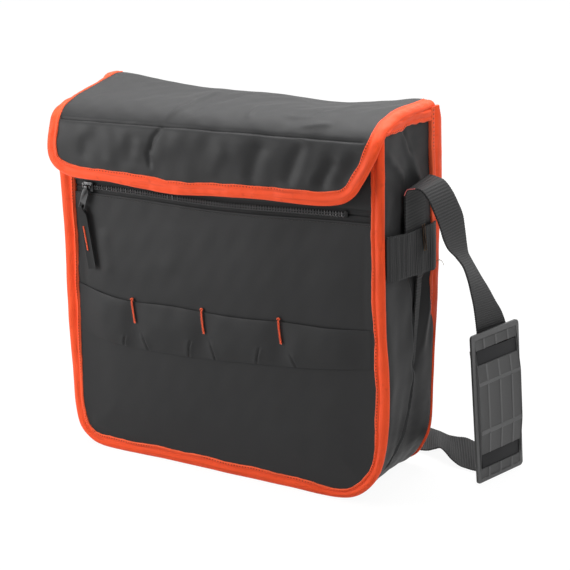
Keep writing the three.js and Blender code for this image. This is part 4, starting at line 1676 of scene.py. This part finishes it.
@dataclass
class Flap:
    """The padded cover: a top joined to the back, a hanging lip, and one long edge tape."""

    palette: Palette
    nodes: Mapping[str, Node]
    profile: Rail = Rail((
        (50.6, 288), (51, 303), (51.2, 314), (50.8, 320.5), (48.6, 324.4), (44.5, 326.1), (36, 326.6),
        (20, 326.7), (0, 326.7), (-15, 326.3), (-25, 325.1), (-35, 322.9), (-44, 319.4), (-51, 315),
        (-56, 310), (-59, 304), (-60.2, 296), (-60.4, 280), (-60.4, 250),
    ))
    seam_height: float = 309.6
    left_flat: float = 152.0
    right_flat: float = 148.0
    turned: float = 16.0

    def reach(self, y: float | None = None, z: float | None = None) -> float:
        """How far along the cover a place on its top (y) or on its lip (z) is.

        Args:
            y: A place on the top, if given.
            z: A height on the lip, if given.

        Returns:
            The distance from the cover's back edge.
        """
        if y is not None:
            return self.profile.reach_of(0, y)
        return self.profile.reach_of(1, z)

    def on_top(self, *points: tuple[float, float]) -> Line:
        """Places on the flat cloth of points on the top, given by x and y."""
        return tuple((x, self.reach(y=y)) for x, y in points)

    def on_lip(self, *points: tuple[float, float]) -> Line:
        """Places on the flat cloth of points on the lip, given by x and z."""
        return tuple((x, self.reach(z=z)) for x, z in points)

    def swell(self, x: Array, y: Array, z: Array) -> Array:
        """How far the cover's top stands above its flat line.

        Args:
            x: Places across.
            y: Places from front to back.
            z: Heights.

        Returns:
            A height for each.
        """
        on_top = rise(z, 296.0, 322.0)
        left = 10.5 * hump(x, -168.0, 72.0) * rise(y, -20.0, 42.0)
        corner = 3.6 * hump(x, -168.0, 17.0) * rise(y, -46.0, -4.0) * (1.0 - 0.8 * rise(y, 28.0, 46.0))
        dip = -4.2 * hump(x, 71.0, 40.0) * rise(y, -20.0, 40.0)
        rim = 2.9 * hump(x, 148.0, 18.0) * rise(y, -46.0, 6.0)
        return (left + corner + dip + rim) * on_top

    @cached_property
    def folds(self) -> tuple[Fold, ...]:
        """The creases of the top and of the lip, by place on the flat cloth.

        Returns:
            The creases.
        """
        seam = self.reach(z=self.seam_height)
        over, lip = self.on_top, self.on_lip
        return (
            Fold(((-43.0, seam - 1.0), *over((-37, -44), (-30, -30), (-33, 0), (-34.5, 14),
                                             (-35.5, 26))), 1.7, 2.8, fade=18),
            Fold(over((-38, -30), (-42, 18), (-46, 47)), 1.3, 10.0, fade=16),
            Fold(over((-22, -46), (-14, -12), (-12, 20)), -1.5, 8.0, fade=16),
            Fold(over((39, -48), (34, -36), (34, -14)), 1.0, 3.2, fade=9),
            Fold(over((56, -34), (74, -38), (93, -37), (106, -20), (112, 20)),
                 0.9, 3.4, fade=22),
            Fold(over((60, -20), (84, -26), (96, -8)), 0.7, 4.5, fade=18),
            Fold(over((88, -50), (100, -47), (118, -44)), 0.9, 2.8, fade=9),
            Fold(over((28, 34), (60, 10)), 1.0, 7.0, fade=14),
            Fold(over((-130, 20), (-96, -14)), 0.7, 10.0, fade=18),
            Fold(((-40.5, seam - 3.0), *lip((-44, 306), (-50, 299), (-55.5, 285), (-53.5, 270))),
                 -1.9, 2.3, fade=10),
            Fold(lip((-34, 306), (-43, 297), (-47, 276)), 0.5, 5.5, fade=12),
            Fold(lip((-62, 300), (-68, 276)), 0.8, 6.0, fade=8),
            Fold(lip((60, 306), (51, 287), (43, 266)), -2.1, 7.0, fade=10),
            Fold(lip((97, 308), (88, 290), (79, 266)), -2.2, 6.4, fade=9),
            Fold(lip((103, 308), (96, 290), (88, 266)), 0.4, 5.0, fade=9),
            Fold(lip((126, 297), (115, 280), (110, 266)), -2.3, 5.6, fade=9),
            Fold(lip((116, 290), (105, 278), (101, 266)), 0.7, 4.0, fade=9),
            Fold(lip((148, 302), (138, 284), (128, 268)), -1.8, 8.0, fade=10),
            Fold(lip((134, 300), (126, 284)), 0.6, 5.0, fade=9),
            Fold(lip((24, 298), (12, 280), (6, 268)), 0.9, 6.0, fade=9),
            Fold(lip((-73, 306), (-76, 270)), -0.6, 6.0, fade=9),
            Fold(lip((-94, 306), (-99, 268)), 0.9, 7.0, fade=9),
            Fold(lip((-122, 300), (-126, 272)), -0.8, 6.0, fade=9),
            Fold(((-154.0, seam), (151.0, seam)), -1.5, 1.1, fade=4),
            Fold(((-154.0, seam + 3.6), (151.0, seam + 3.6)), 0.25, 2.4, fade=4),
        )

    def relief(self, across: Array, reach: Array) -> Array:
        """The cloth's own unevenness, which its edge tape shares."""
        soft = 0.5 * crumple(across, reach, 52.0, 71) + 0.16 * crumple(across, reach, 19.0, 72)
        return soft * rise(reach, 30.0, 60.0) + relief_of(self.folds, across, reach)

    def place(self, across: Array, reach: Array, height: Array | float = 0.0) -> Array:
        """Points on the cover.

        Args:
            across: Distance across the cloth from the bag's middle.
            reach: Distance along the cloth from the back.
            height: How far outward of the cloth's face.

        Returns:
            The points.
        """
        spots = self.profile.spot(reach)
        outward = -self.profile.left(reach)
        y, z = spots.T
        seam = self.reach(z=self.seam_height)
        left_turn = 1.35 * rise(reach, 34.0, 60.0) * (1.0 - 0.66 * rise(reach, seam - 44.0, seam - 6.0))
        left_turn = left_turn * (1.0 - 0.45 * hump(y, 28.0, 9.0))
        left_turn = left_turn * (1.0 - rise(reach, seam, seam + 24.0))
        right_turn = 0.34 * rise(reach, 30.0, 55.0) * (1.0 - rise(reach, seam - 30.0, seam))
        left = across < 0
        turn = np.where(left, left_turn, right_turn) + 1e-4
        flat = np.where(left, self.left_flat, self.right_flat)
        past = np.clip(np.abs(across) - flat, 0.0, 60.0)
        curve = turn / self.turned
        angle = np.minimum(past * curve, turn * 1.25)
        rest = np.maximum(past - angle / curve, 0.0)
        out = np.sin(angle) / curve + rest * np.cos(angle)
        drop = (1.0 - np.cos(angle)) / curve + rest * np.sin(angle)
        side = np.sign(across)
        x = side * (np.minimum(np.abs(across), flat) + out + height * np.sin(angle))
        lift = height * np.cos(angle) - drop + self.swell(x, y, z)
        return stack((x, y + outward[:, 0] * lift, z + outward[:, 1] * lift))

    @cached_property
    def edges(self) -> tuple[Line, ...]:
        """The cover's left, lower and right edges on the flat cloth.

        Returns:
            The left, the lower and the right edge.
        """
        left = (
            (-149, 0), (-150, 18), (-158, 38),
            *self.on_top((-165.5, 40), (-167.5, 15), (-167.5, -20), (-166.5, -48)),
            *self.on_lip((-164.6, 304), (-165.6, 293), (-166.2, 281), (-164.4, 272.5), (-160, 266),
                         (-152.9, 261.6), (-144, 258.6)),
        )
        low = self.on_lip((-120, 257), (-100.8, 256.4), (-81.7, 254.9), (-63.3, 253.6), (-44.7, 252.9),
                          (-19.4, 252.9), (6.5, 253.5), (45.9, 254.7), (80, 255.3))
        right = (
            (151, 0), (152, 18), (160, 38),
            *self.on_top((164.5, 40), (165, 10), (165.2, -20), (165.2, -47)),
            *self.on_lip((164.2, 308), (161.6, 299), (156.4, 288.6), (148.8, 275), (142.6, 266.6),
                         (134, 260.4), (123, 256.8), (108, 255.7)),
        )
        return left, low, right

    def build(self) -> None:
        """Makes the cover."""
        self.build_top()
        self.build_lip()
        self.build_tape()
        self.build_patches()

    def build_top(self) -> None:
        """The top, joined to the back below the hinge and ending at the seam across."""
        left, _, right = self.edges
        seam = self.reach(z=self.seam_height)
        left_line, right_line = Rail(left).track[0], Rail(right).track[0]

        def top(u: Array, v: Array) -> Pair:
            """From the back wall over to the seam.

            Args:
                u: Shares across.
                v: Shares along.

            Returns:
                Flat and solid places.
            """
            reach = v * (seam + 0.05)
            first = np.interp(reach, left_line[:, 1], left_line[:, 0]) + 3.0
            last = np.interp(reach, right_line[:, 1], right_line[:, 0]) - 3.0
            across = first + (last - first) * u
            return stack((across, reach)), self.place(across, reach, self.relief(across, reach))

        shape = Shape("flap_top_cloth")
        shape.cloth(170, 96, top, (0, 0, 1))
        piece = shape.finish(self.palette.cloth, Slot.CLOTH, ("flap_top",), None, wall=2.6)
        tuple(spot(0.0, 51.0, 316.0))
        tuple(spot(0.0, 36.0, 327.0))
        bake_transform(piece)

    def build_lip(self) -> None:
        """The lip that hangs over the front."""
        left, _, right = self.edges
        seam = self.reach(z=self.seam_height)
        near, far = (
            Rail((
                (float(np.interp(seam, *reversed(Rail(edge).track[0].T))), seam),
                *(point for point in edge if point[1] > seam + 1.0),
            ))
            for edge in (left, right)
        )

        def lip(u: Array, v: Array) -> Pair:
            """From the seam down to the lip's lower edge.

            Args:
                u: Shares across.
                v: Shares along.

            Returns:
                Flat and solid places.
            """
            first, last = near.at(v, -5.0), far.at(v, 5.0)
            spots = first + (last - first) * u[:, None]
            across = spots[:, 0]
            reach = np.maximum(spots[:, 1], seam - 0.05) + 2.5 * np.sin(math.pi * u) * rise(v, 0.5, 1.0)
            return stack((across, reach)), self.place(across, reach, self.relief(across, reach))

        shape = Shape("flap_lip_cloth")
        shape.cloth(200, 60, lip, (0, -1, 0))
        shape.finish(self.palette.cloth, Slot.CLOTH, ("flap_lip",), "lip", wall=2.6)

    def build_tape(self) -> None:
        """The tape down the cover's left edge, along the lip and up its right edge."""
        left, low, right = self.edges
        start = self.reach(y=44.0)
        rail = Rail((
            *(point for point in left if point[1] > start),
            *low,
            *reversed([point for point in right if point[1] > start]),
        ))
        section = TapeFold((
            (11.6, -0.6), (11.4, 0.35), (10.6, 0.6), (9.6, 0.35), (8.4, 0.2), (6.4, 0.75), (4, 0.95),
            (2, 0.5), (0.6, -0.5), (0, -1.8), (0.5, -3), (2.4, -3.9), (6, -4.2), (10, -4),
            (11.6, -2.6), (11.6, -0.6),
        ))

        def tape(u: Array, v: Array) -> Pair:
            """Folded over the cloth's edge, a little gathered at the corners.

            Args:
                u: Shares across.
                v: Shares along.

            Returns:
                Flat and solid places.
            """
            inward, height = section.at(u)
            reach = v * rail.length
            wide = 1.0 + 0.05 * crumple(reach, 0.0, 38.0, 77)
            ragged = rise(inward, 10.0, 11.6) * 0.16 * crumple(reach, 0.0, 11.0, 78)
            plump = 1.0 + 0.3 * crumple(reach, inward * 2.0, 17.0, 79) * rise(height, -0.5, 0.4)
            spots = rail.spot(reach) - rail.left(reach) * (inward * wide + ragged)[:, None]
            own = self.relief(spots[:, 0], spots[:, 1])
            points = self.place(spots[:, 0], spots[:, 1], height * plump + own + 0.5)
            return stack((reach, inward)), points

        shape = Shape("flap_edge_tape")
        shape.sweep(section.around, 320, tape)
        names = ("flap_binding_left", "flap_binding_right", "lip_binding")
        piece = shape.finish(self.palette.tape, Slot.EDGE_TAPE, names, None)
        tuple(spot(0.0, -58.0, 313.0))
        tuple(spot(0.0, -60.0, 303.0))
        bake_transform(piece)

    def build_patches(self) -> None:
        """Hook-and-loop patches inside the lip and on the front."""
        for side in ("left", "right"):
            for place, body in (("flap", "lip"), ("front", "bag")):
                shape = Shape(f"{place}_hook_patch_{side}")
                shape.copy(self.nodes[f"{place}_patch_{side}"], 0.5)
                shape.finish(self.palette.hooks, Slot.FASTENER, (f"{place}_patch_{side}",), body)


@dataclass
class SideAnchor:
    """What holds the strap on one side: the webbing across, the strap's tail and a bartack."""

    palette: Palette
    side: int
    name: str
    near: float
    width: float = 38.0
    seat: float = 164.0
    tail_foot: float = 92.0
    tail_length: float = 135.0
    rib_pitch: float = 3.7
    top: Rail = Rail(((-46.2, 233.2), (-17.4, 230.4), (10, 228.8), (46, 227.6)))
    low: Rail = Rail(((-46.2, 196.3), (-17.7, 192.9), (10, 190), (46, 186.2)))

    def build(self) -> None:
        """Makes the pieces of this side."""
        self.build_webbing()
        self.build_tail()
        self.build_tack()

    def off(self, y: Array) -> Array:
        """How far out the webbing's face is.

        Args:
            y: Places from front to back.

        Returns:
            A distance from the middle for each.
        """
        ends = 1.0 - rise(np.abs(y + 2.0), 34.0, 47.0)
        seat = self.near + (self.seat - self.near) * rise(y, -44.0, 30.0)
        return seat + 2.9 * ends

    def build_webbing(self) -> None:
        """The webbing across the side, ribbed up and down."""

        def band(u: Array, v: Array) -> Pair:
            """From the front's tape to the back's.

            Args:
                u: Shares across.
                v: Shares along.

            Returns:
                Flat and solid places.
            """
            high, low = self.top.at(u), self.low.at(u)
            spots = low + (high - low) * v[:, None]
            y, z = spots[:, 0], spots[:, 1]
            strong = 0.25 + 0.75 * (1.0 - rise(y, -24.0, -4.0))
            ribs = 0.32 * np.sin(y * math.tau / self.rib_pitch) * strong
            ribs = ribs * rise(v, 0.0, 0.05) * (1 - rise(v, 0.95, 1.0))
            slack = 0.5 * crumple(y, z, 34.0, 81) + 0.8 * hump(y, 30.0, 7.0)
            x = self.side * (self.off(y) + ribs + slack * (1.0 - rise(np.abs(y), 36.0, 46.0)))
            return stack((y, (v - 0.5) * self.width)), stack((x, y, z))

        shape = Shape(f"side_webbing_band_{self.name}")
        shape.cloth(190, 36, band, (self.side, 0, 0))
        shape.finish(self.palette.webbing, Slot.WEBBING, (f"side_webbing_{self.name}",), wall=1.5)

    def build_tail(self) -> None:
        """The strap's tail, flat against the gusset and under the webbing."""

        def tail(u: Array, v: Array) -> Pair:
            """From the strap's end up to where the strap leaves.

            Args:
                u: Shares across.
                v: Shares along.

            Returns:
                Flat and solid places.
            """
            z = self.tail_foot + self.tail_length * v
            wide = rise(z, 190.0, 202.0)
            half = 1.2 + 3.0 * rise(z, self.tail_foot, 160.0) + 14.8 * wide
            y = 12.0 - 10.0 * wide + (u - 0.5) * 2.0 * half
            out = self.off(y) - 3.0 - 4.4 * (1.0 - rise(z, 120.0, 196.0))
            out = out - 2.4 * (1.0 - rise(z, self.tail_foot, 134.0)) + 0.15 * crumple(y, z, 30.0, 83)
            x = self.side * out
            return stack((z, y)), stack((x, y, z))

        shape = Shape(f"strap_tail_webbing_{self.name}")
        shape.cloth(20, 60, tail, (self.side, 0, 0))
        shape.finish(self.palette.webbing, Slot.WEBBING, (f"strap_tail_{self.name}",), wall=1.4)

    def build_tack(self) -> None:
        """Two rows of zigzag stitching in orange and dark thread, and a loose end."""
        turns = 44
        share = np.linspace(0.0, 1.0, turns)
        side = np.where(np.arange(turns) % 2, 1.0, -1.0)
        shape = Shape(f"side_tack_{self.name}")
        for start, foot in ((9.2, 13.4), (12.8, 17.0)):
            y = start + (foot - start) * share + side * 0.8
            z = 231.5 - 23.0 * share
            x = self.side * (self.off(y) + 0.75 + 0.1 * np.sin(share * 9.0))
            shape.tube(stack((x, y, z)), 0.36, 5)
        if self.side > 0:
            for droop, far in ((6.5, 15.0), (-1.0, 6.0)):
                run = np.linspace(0.0, 1.0, 12)
                end = stack((
                    165.4 + 1.2 * np.sin(run * 3.0),
                    41.0 + far * run,
                    192.5 - droop * run**2 + 0.8 * np.sin(run * 5.0),
                ))
                shape.tube(end, 0.25, 4)
        shape.finish(self.palette.dull_thread, Slot.THREAD, (f"side_bartack_{self.name}",))


@dataclass
class ShoulderStrap:
    """The carrying strap with its moulded pad and its adjuster."""

    palette: Palette
    nodes: Mapping[str, Node]
    width: float = 38.0
    thickness: float = 1.6
    edge_pitch: float = 4.2
    exit_x: float = 164.49
    pad_foot: Place = (216.7, 66.5, 0.4)
    pad_turn: float = -17.8
    pad_lean: float = -4.0
    adjuster_centre: Place = (-190.0, 36.0, 162.0)
    adjuster_tilt: float = 16.0
    pad_height: float = 130.0
    pad_bow: float = 2.6
    pad_shift: float = -3.8
    thinner: float = 1.6

    @cached_property
    def pad_frame(self) -> Matrix:
        """The pad's own frame: x out of its face, y across, z along the strap.

        Returns:
            The frame, in metres.
        """
        turn = Matrix.Rotation(math.radians(self.pad_turn), 4, "Z")
        lean = Matrix.Rotation(math.radians(self.pad_lean), 4, "Y")
        return Matrix.Translation(self.pad_foot) @ turn @ lean

    @cached_property
    def adjuster_frame(self) -> Matrix:
        """The adjuster's own frame."""
        tilt = Matrix.Rotation(math.radians(self.adjuster_tilt), 4, "X")
        return Matrix.Translation(self.adjuster_centre) @ tilt

    def bow(self, height: Array) -> Array:
        """How far the pad's middle stands forward, at heights up it."""
        share = np.clip(height / self.pad_height, 0.0, 1.0) * 2.0 - 1.0
        return self.pad_bow * (1.0 - share**2)

    def route(self) -> list[tuple[Sequence[float], Sequence[float]]]:
        """Points along the strap, each with the direction of its width.

        Returns:
            The points with their directions.
        """
        pad_across = self.pad_frame.to_3x3() @ Vector((0, 1, 0))
        run_across = self.adjuster_frame.to_3x3() @ Vector((0, 1, 0))

        def pad(height: float, aside: float) -> tuple[Sequence[float], Sequence[float]]:
            """A point behind the pad's plate."""
            forward = float(self.bow(np.array(height))) - 1.3
            return self.pad_frame @ Vector((forward, aside - 2.0, height)), pad_across

        def run(height: float) -> tuple[Sequence[float], Sequence[float]]:
            """A point on the straight run through the adjuster."""
            return self.adjuster_frame @ Vector((0, 0, height)), run_across

        out = self.exit_x
        return [
            ((out, 2, 226.3), (0, 1, 0)), ((out, 2, 240), (0, 1, 0)), ((out, 2.2, 254), (0, 1, 0)),
            ((out + 0.3, 2.4, 262.8), (0, 1, 0.07)), ((167, 2.5, 267.6), (0.0, 1, 0.13)),
            ((171, 2.5, 268.4), (-0.02, 1, 0.12)), ((175.3, 2.5, 268), (0.03, 1, 0.07)),
            ((179.7, 2.7, 266.6), (0.07, 1, 0.05)), ((185.8, 4, 259), (0.08, 1, 0.04)),
            ((190, 7, 248), (0.1, 0.99, 0.03)), ((192.3, 11, 237.7), (0.09, 0.99, 0.06)),
            ((193.6, 15, 224.1), (0.05, 1, 0)), ((194.4, 20, 212.8), (-0.02, 0.99, -0.12)),
            ((195.7, 26, 204.8), (-0.15, 0.98, -0.16)), ((198.2, 32, 196.1), (-0.2, 0.97, -0.15)),
            ((201.5, 38, 183.1), (-0.13, 0.98, -0.15)), ((203.9, 44, 170.7), (-0.02, 0.99, -0.12)),
            ((205.2, 52, 157), (0.1, 0.98, -0.1)), ((205.4, 60, 144.8), (0.22, 0.97, -0.03)),
            pad(130, -1.5), pad(100, 0), pad(55, 0), pad(18, 0), pad(9, 0),
            ((208.5, 69, 4), (0.2, 0.97, 0.12)), ((201, 69, 6.8), (-0.1, 0.96, 0.24)),
            ((192.8, 69.5, 8.6), (-0.38, 0.87, 0.32)), ((182.5, 71, 9.6), (-0.43, 0.79, 0.43)),
            ((173.1, 72, 9.4), (-0.46, 0.81, 0.37)), ((164.1, 74.5, 10.6), (-0.46, 0.86, 0.21)),
            ((156.8, 78, 12.4), (-0.46, 0.88, 0.08)), ((150, 82, 12.8), (-0.46, 0.89, 0.03)),
            ((142.6, 85, 10.8), (-0.44, 0.89, 0.12)), ((134.6, 88, 8.4), (-0.4, 0.89, 0.22)),
            ((120, 91.5, 5), (-0.22, 0.97, 0.14)), ((100, 95, 2.2), (0, 1, 0.02)),
            ((30, 95, 1.3), (0, 1, 0)), ((-50, 93, 1.3), (0, 1, 0)), ((-120, 91, 1.5), (-0.1, 0.99, 0)),
            ((-152, 88, 5), (-0.3, 0.95, 0)), ((-172, 80, 16), (-0.35, 0.94, 0.06)),
            ((-185, 70, 40), (-0.15, 0.97, 0.2)), ((-189.5, 61, 74), (0, 0.96, 0.276)),
            run(-60), run(-35), run(35), run(58),
            ((-189, 15, 234), (0, 0.98, 0.2)), ((-186, 10, 246), (-0.05, 0.99, 0.1)),
            ((-179, 5, 258), (-0.05, 1, 0)), ((-171, 2.5, 260.5), (0, 1, 0)),
            ((-out - 1.6, 2, 252), (0, 1, 0)), ((-out, 2, 239), (0, 1, 0)), ((-out, 2, 233), (0, 1, 0)),
            ((-out, 2, 226.3), (0, 1, 0)),
        ]

    def build(self) -> None:
        """Makes the strap and what is on it."""
        pad = self.build_pad()
        adjuster = self.build_adjuster()
        route = self.route()
        steps = 14
        centre = through(np.array([list(point) for point, _ in route], float), steps)
        across = through(np.array([list(width) for _, width in route], float), steps)
        ahead = np.gradient(centre, axis=0)
        ahead /= np.linalg.norm(ahead, axis=1, keepdims=True)
        across /= np.linalg.norm(across, axis=1, keepdims=True)
        normal = np.cross(ahead, across)
        normal /= np.linalg.norm(normal, axis=1, keepdims=True)
        far = travelled(centre)
        half, deep = self.width / 2, self.thickness / 2
        lanes = np.linspace(-1.0, 1.0, 11)
        loop = np.array(
            [(lane * (half - 0.3), deep) for lane in lanes]
            + [(half, 0.0)]
            + [(-lane * (half - 0.3), -deep) for lane in lanes]
            + [(-half, 0.0)]
        )
        around, rows = len(loop), len(centre) - 1

        def skin(u: Array, v: Array) -> Pair:
            """A flat rounded section along the route.

            Args:
                u: Shares across.
                v: Shares along.

            Returns:
                Flat and solid places.
            """
            row = np.rint(v * rows).astype(int)
            turn = np.rint(u * around).astype(int) % around
            side, out = loop[turn, 0], loop[turn, 1]
            scallop = 0.7 * np.sin(far[row] * math.tau / self.edge_pitch)
            scallop = scallop * rise(np.abs(side), half - 2.0, half)
            side = side - np.sign(side) * np.abs(scallop)
            points = centre[row] + across[row] * side[:, None] + normal[row] * out[:, None]
            return stack((far[row], side)), points

        # A thin reddish tube runs along the strap's front edge over the arch.
        melted = slice(int(2.9 * steps), int(5.7 * steps))
        shape = Shape("strap_edge_thread")
        shape.tube(centre[melted] - across[melted] * (half + 0.05) + normal[melted] * 0.5, 0.42, 5)
        shape.finish(self.palette.melted, Slot.THREAD)
        shape = Shape("shoulder_strap_webbing")
        shape.sweep(around, rows, skin)
        strap = shape.finish(self.palette.webbing, Slot.WEBBING, ("shoulder_strap",))
        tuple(spot(*route[0][0]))
        self.width * MM
        [tuple(point) for point in metres(centre)]

    def build_pad(self) -> Node:
        """The ribbed rubber pad with its two windows.

        Returns:
            The pad.
        """
        shape = Shape("shoulder_pad_moulding")
        shape.copy(self.nodes["shoulder_pad"], 0.4)
        layer = shape.pattern
        back = self.pad_frame.inverted()
        for vert in shape.mesh.verts:
            there = Vector(vert.co) / MM - Vector((0.0, BACKWARD, 0.0))
            out, aside, up = back @ there
            for loop in vert.link_loops:
                loop[layer].uv = (aside, out)
            tight = 1.0 - 0.1 * float(rise(-out, 0.3, 2.0))
            lower = float(rise(up, 78.0, 106.0) - rise(up, 122.0, 129.0))
            higher = float(rise(up, 3.0, 9.0) - rise(up, 30.0, 44.0))
            bow = float(self.bow(np.array(up)))
            middle = bow / self.pad_bow
            thick = 1.0 - self.thinner / 4.0 if out > 0 else 1.3
            wide = aside * tight * (1.0 + 0.035 * up / self.pad_height) * (1.057 + 0.03 * middle)
            skew = 0.02 + 0.025 * up / self.pad_height
            moved = Vector((
                self.thinner + out * thick + bow,
                wide + self.pad_shift - 1.35 + 2.2 * middle,
                (up - 5.0 * lower + 2.8 * higher) * 1.022 + aside * skew + 0.3,
            ))
            vert.co = spot(*(self.pad_frame @ moved))
        nodes = ("shoulder_pad",)
        pad = shape.finish(self.palette.ribbed_rubber, Slot.PAD_RUBBER, nodes, "pad")
        # Dark sheets behind the pad's two windows, painted shade: they cover the strap seen through the
        # windows, which lies in the pad's shade.
        shape = Shape("shoulder_pad_window_shade")
        shape.block((2.3, -29.0, 86.0), (3.5, 24.5, 118.0), 0.2, self.pad_frame)
        shape.block((2.2, -27.5, 7.0), (3.2, 24.5, 34.0), 0.2, self.pad_frame)
        shape.finish(self.palette.lining, Slot.WEBBING, (), "pad")
        return pad

    def build_adjuster(self) -> Node:
        """The plastic slide that sets the strap's length.

        Returns:
            The adjuster.
        """
        shape = Shape("strap_adjuster_slide")
        shape.copy(self.nodes["strap_adjuster"], 0.6)
        return shape.finish(self.palette.buckle, Slot.PAD_RUBBER, ("strap_adjuster",), "adjuster")


@dataclass
class Studio:
    """The camera, the floor and the light."""

    azimuth: float = 31.4735
    elevation: float = 16.1415
    roll: float = -1.588
    distance: float = 1219.58
    target: Place = (40.04, 0.0, 166.52)
    focal_pixels: float = 1401.0
    frame_pixels: float = 570.0
    sensor: float = 36.0
    fill: float = 0.04
    floor_glow: float = 1.12
    floor_near: float = 0.93
    floor_shadow: float = 0.1

    def build(self) -> None:
        """Sets up the studio."""
        self.build_camera()
        self.build_world()
        self.build_floor()
        self.build_lamps()

    def build_camera(self) -> None:
        """The camera where the photograph was taken from."""
        turn, climb, roll = (math.radians(angle) for angle in (self.azimuth, self.elevation, self.roll))
        flat = math.cos(climb)
        back = Vector((math.sin(turn) * flat, -math.cos(turn) * flat, math.sin(climb)))
        right = Vector((math.cos(turn), math.sin(turn), 0.0))
        up = back.cross(right)
        level = right * math.cos(roll) + up * math.sin(roll)
        tall = up * math.cos(roll) - right * math.sin(roll)
        lens = bpy.data.cameras.new("studio_camera")
        lens.sensor_width = self.sensor
        lens.lens = self.focal_pixels / self.frame_pixels * lens.sensor_width
        lens.clip_end = 50.0
        camera = bpy.data.objects.new("studio_camera", lens)
        eye = Vector(spot(*(Vector(self.target) + back * self.distance)))
        camera.matrix_world = Matrix.Translation(eye) @ Matrix((level, tall, back)).transposed().to_4x4()
        bpy.context.scene.collection.objects.link(camera)
        bpy.context.scene.camera = camera

    def seen(self, graph: Graph) -> Value:
        """1 for rays from the camera, and those that gloss or glass sends on.

        Args:
            graph: The world's or the floor's graph.

        Returns:
            The share, 0 or 1.
        """
        rays = graph.node("ShaderNodeLightPath")
        seen = Value(graph, rays.outputs["Is Camera Ray"])
        for name in ("Is Glossy Ray", "Is Transmission Ray"):
            seen = seen.call("MAXIMUM", Value(graph, rays.outputs[name]))
        return seen

    def build_world(self) -> None:
        """White to look at, and a dim even fill as light."""
        world = bpy.data.worlds.new("studio_white")
        world.use_nodes = True
        bpy.context.scene.world = world
        graph = Graph(world.node_tree)
        strength = self.seen(graph) * (1.0 - self.fill) + self.fill
        sky = graph.node(
            "ShaderNodeBackground", None, {"Color": (1.0, 1.0, 1.0, 1.0), "Strength": strength}
        )
        graph.node("ShaderNodeOutputWorld", None, {"Surface": sky.outputs[0]})

    def build_floor(self) -> None:
        """A white floor that keeps a soft contact shadow."""
        mesh = bmesh.new()
        bmesh.ops.create_grid(mesh, x_segments=1, y_segments=1, size=8.0)
        data = bpy.data.meshes.new("studio_floor")
        mesh.to_mesh(data)
        mesh.free()
        floor = bpy.data.objects.new("studio_floor", data)
        bpy.context.scene.collection.objects.link(floor)
        material = bpy.data.materials.new("studio_floor_white")
        material.use_nodes = True
        graph = Graph(material.node_tree)
        matt = graph.node("ShaderNodeBsdfDiffuse", None, {"Color": (0.8, 0.8, 0.8, 1.0)})
        x, y, _ = graph.split(graph.place())
        away = (x * x + y * y).call("SQRT").step(0.35, 0.9)
        plain = (1.0, 1.0, 1.0)
        white = graph.mix(away, solid(plain, self.floor_near), solid(plain))
        glow = {"Color": white, "Strength": self.floor_glow}
        bright = graph.node("ShaderNodeEmission", None, glow)
        mixed = graph.node(
            "ShaderNodeMixShader",
            None,
            {0: self.seen(graph) * (1.0 - self.floor_shadow), 1: matt.outputs[0], 2: bright.outputs[0]},
        )
        graph.node("ShaderNodeOutputMaterial", None, {"Surface": mixed.outputs[0]})
        data.materials.append(material)

    def build_lamps(self) -> None:
        """A wide soft light overhead, nearer ones at the front left and right, a weak one behind."""
        lamps = (
            ("overhead", (-0.12, 0.25, 1.4), (0.0, 0.0, 0.2), 1.2, 30.0),
            ("front_left", (-0.64, -0.5, 0.43), (-0.05, 0.0, 0.18), 0.42, 5.8),
            ("right_high", (0.85, -0.12, 0.9), (0.16, 0.03, 0.15), 0.5, 4.6),
            ("behind", (0.1, 1.1, 1.1), (0.0, 0.0, 0.25), 1.0, 2.2),
        )
        for name, place, aim, size, power in lamps:
            light = bpy.data.lights.new(name, "AREA")
            light.shape = "SQUARE"
            light.size = size
            light.energy = power
            lamp = bpy.data.objects.new(name, light)
            lamp.location = place
            lamp.rotation_euler = (Vector(aim) - Vector(place)).to_track_quat("-Z", "Y").to_euler()
            bpy.context.scene.collection.objects.link(lamp)


def main() -> None:
    """Builds the bag around its frame."""
    logging.basicConfig(level=logging.INFO, format="%(name)s: %(message)s")
    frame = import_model()
    nodes = frame["nodes"]
    bpy.context.scene.view_settings.view_transform = "Standard"
    Studio().build()
    palette = Palette.build()
    ShoulderStrap(palette, nodes).build()
    front = FrontPocket(palette)
    front.build()
    ToolBand(palette, front).build()
    PocketZip(palette, front, nodes).build()
    Sides(palette).build()
    BackPanel(palette).build()
    Flap(palette, nodes).build()
    SideAnchor(palette, 1, "right", 164.4).build()
    SideAnchor(palette, -1, "left", 160.4).build()


if __name__ == "__main__":
    main()
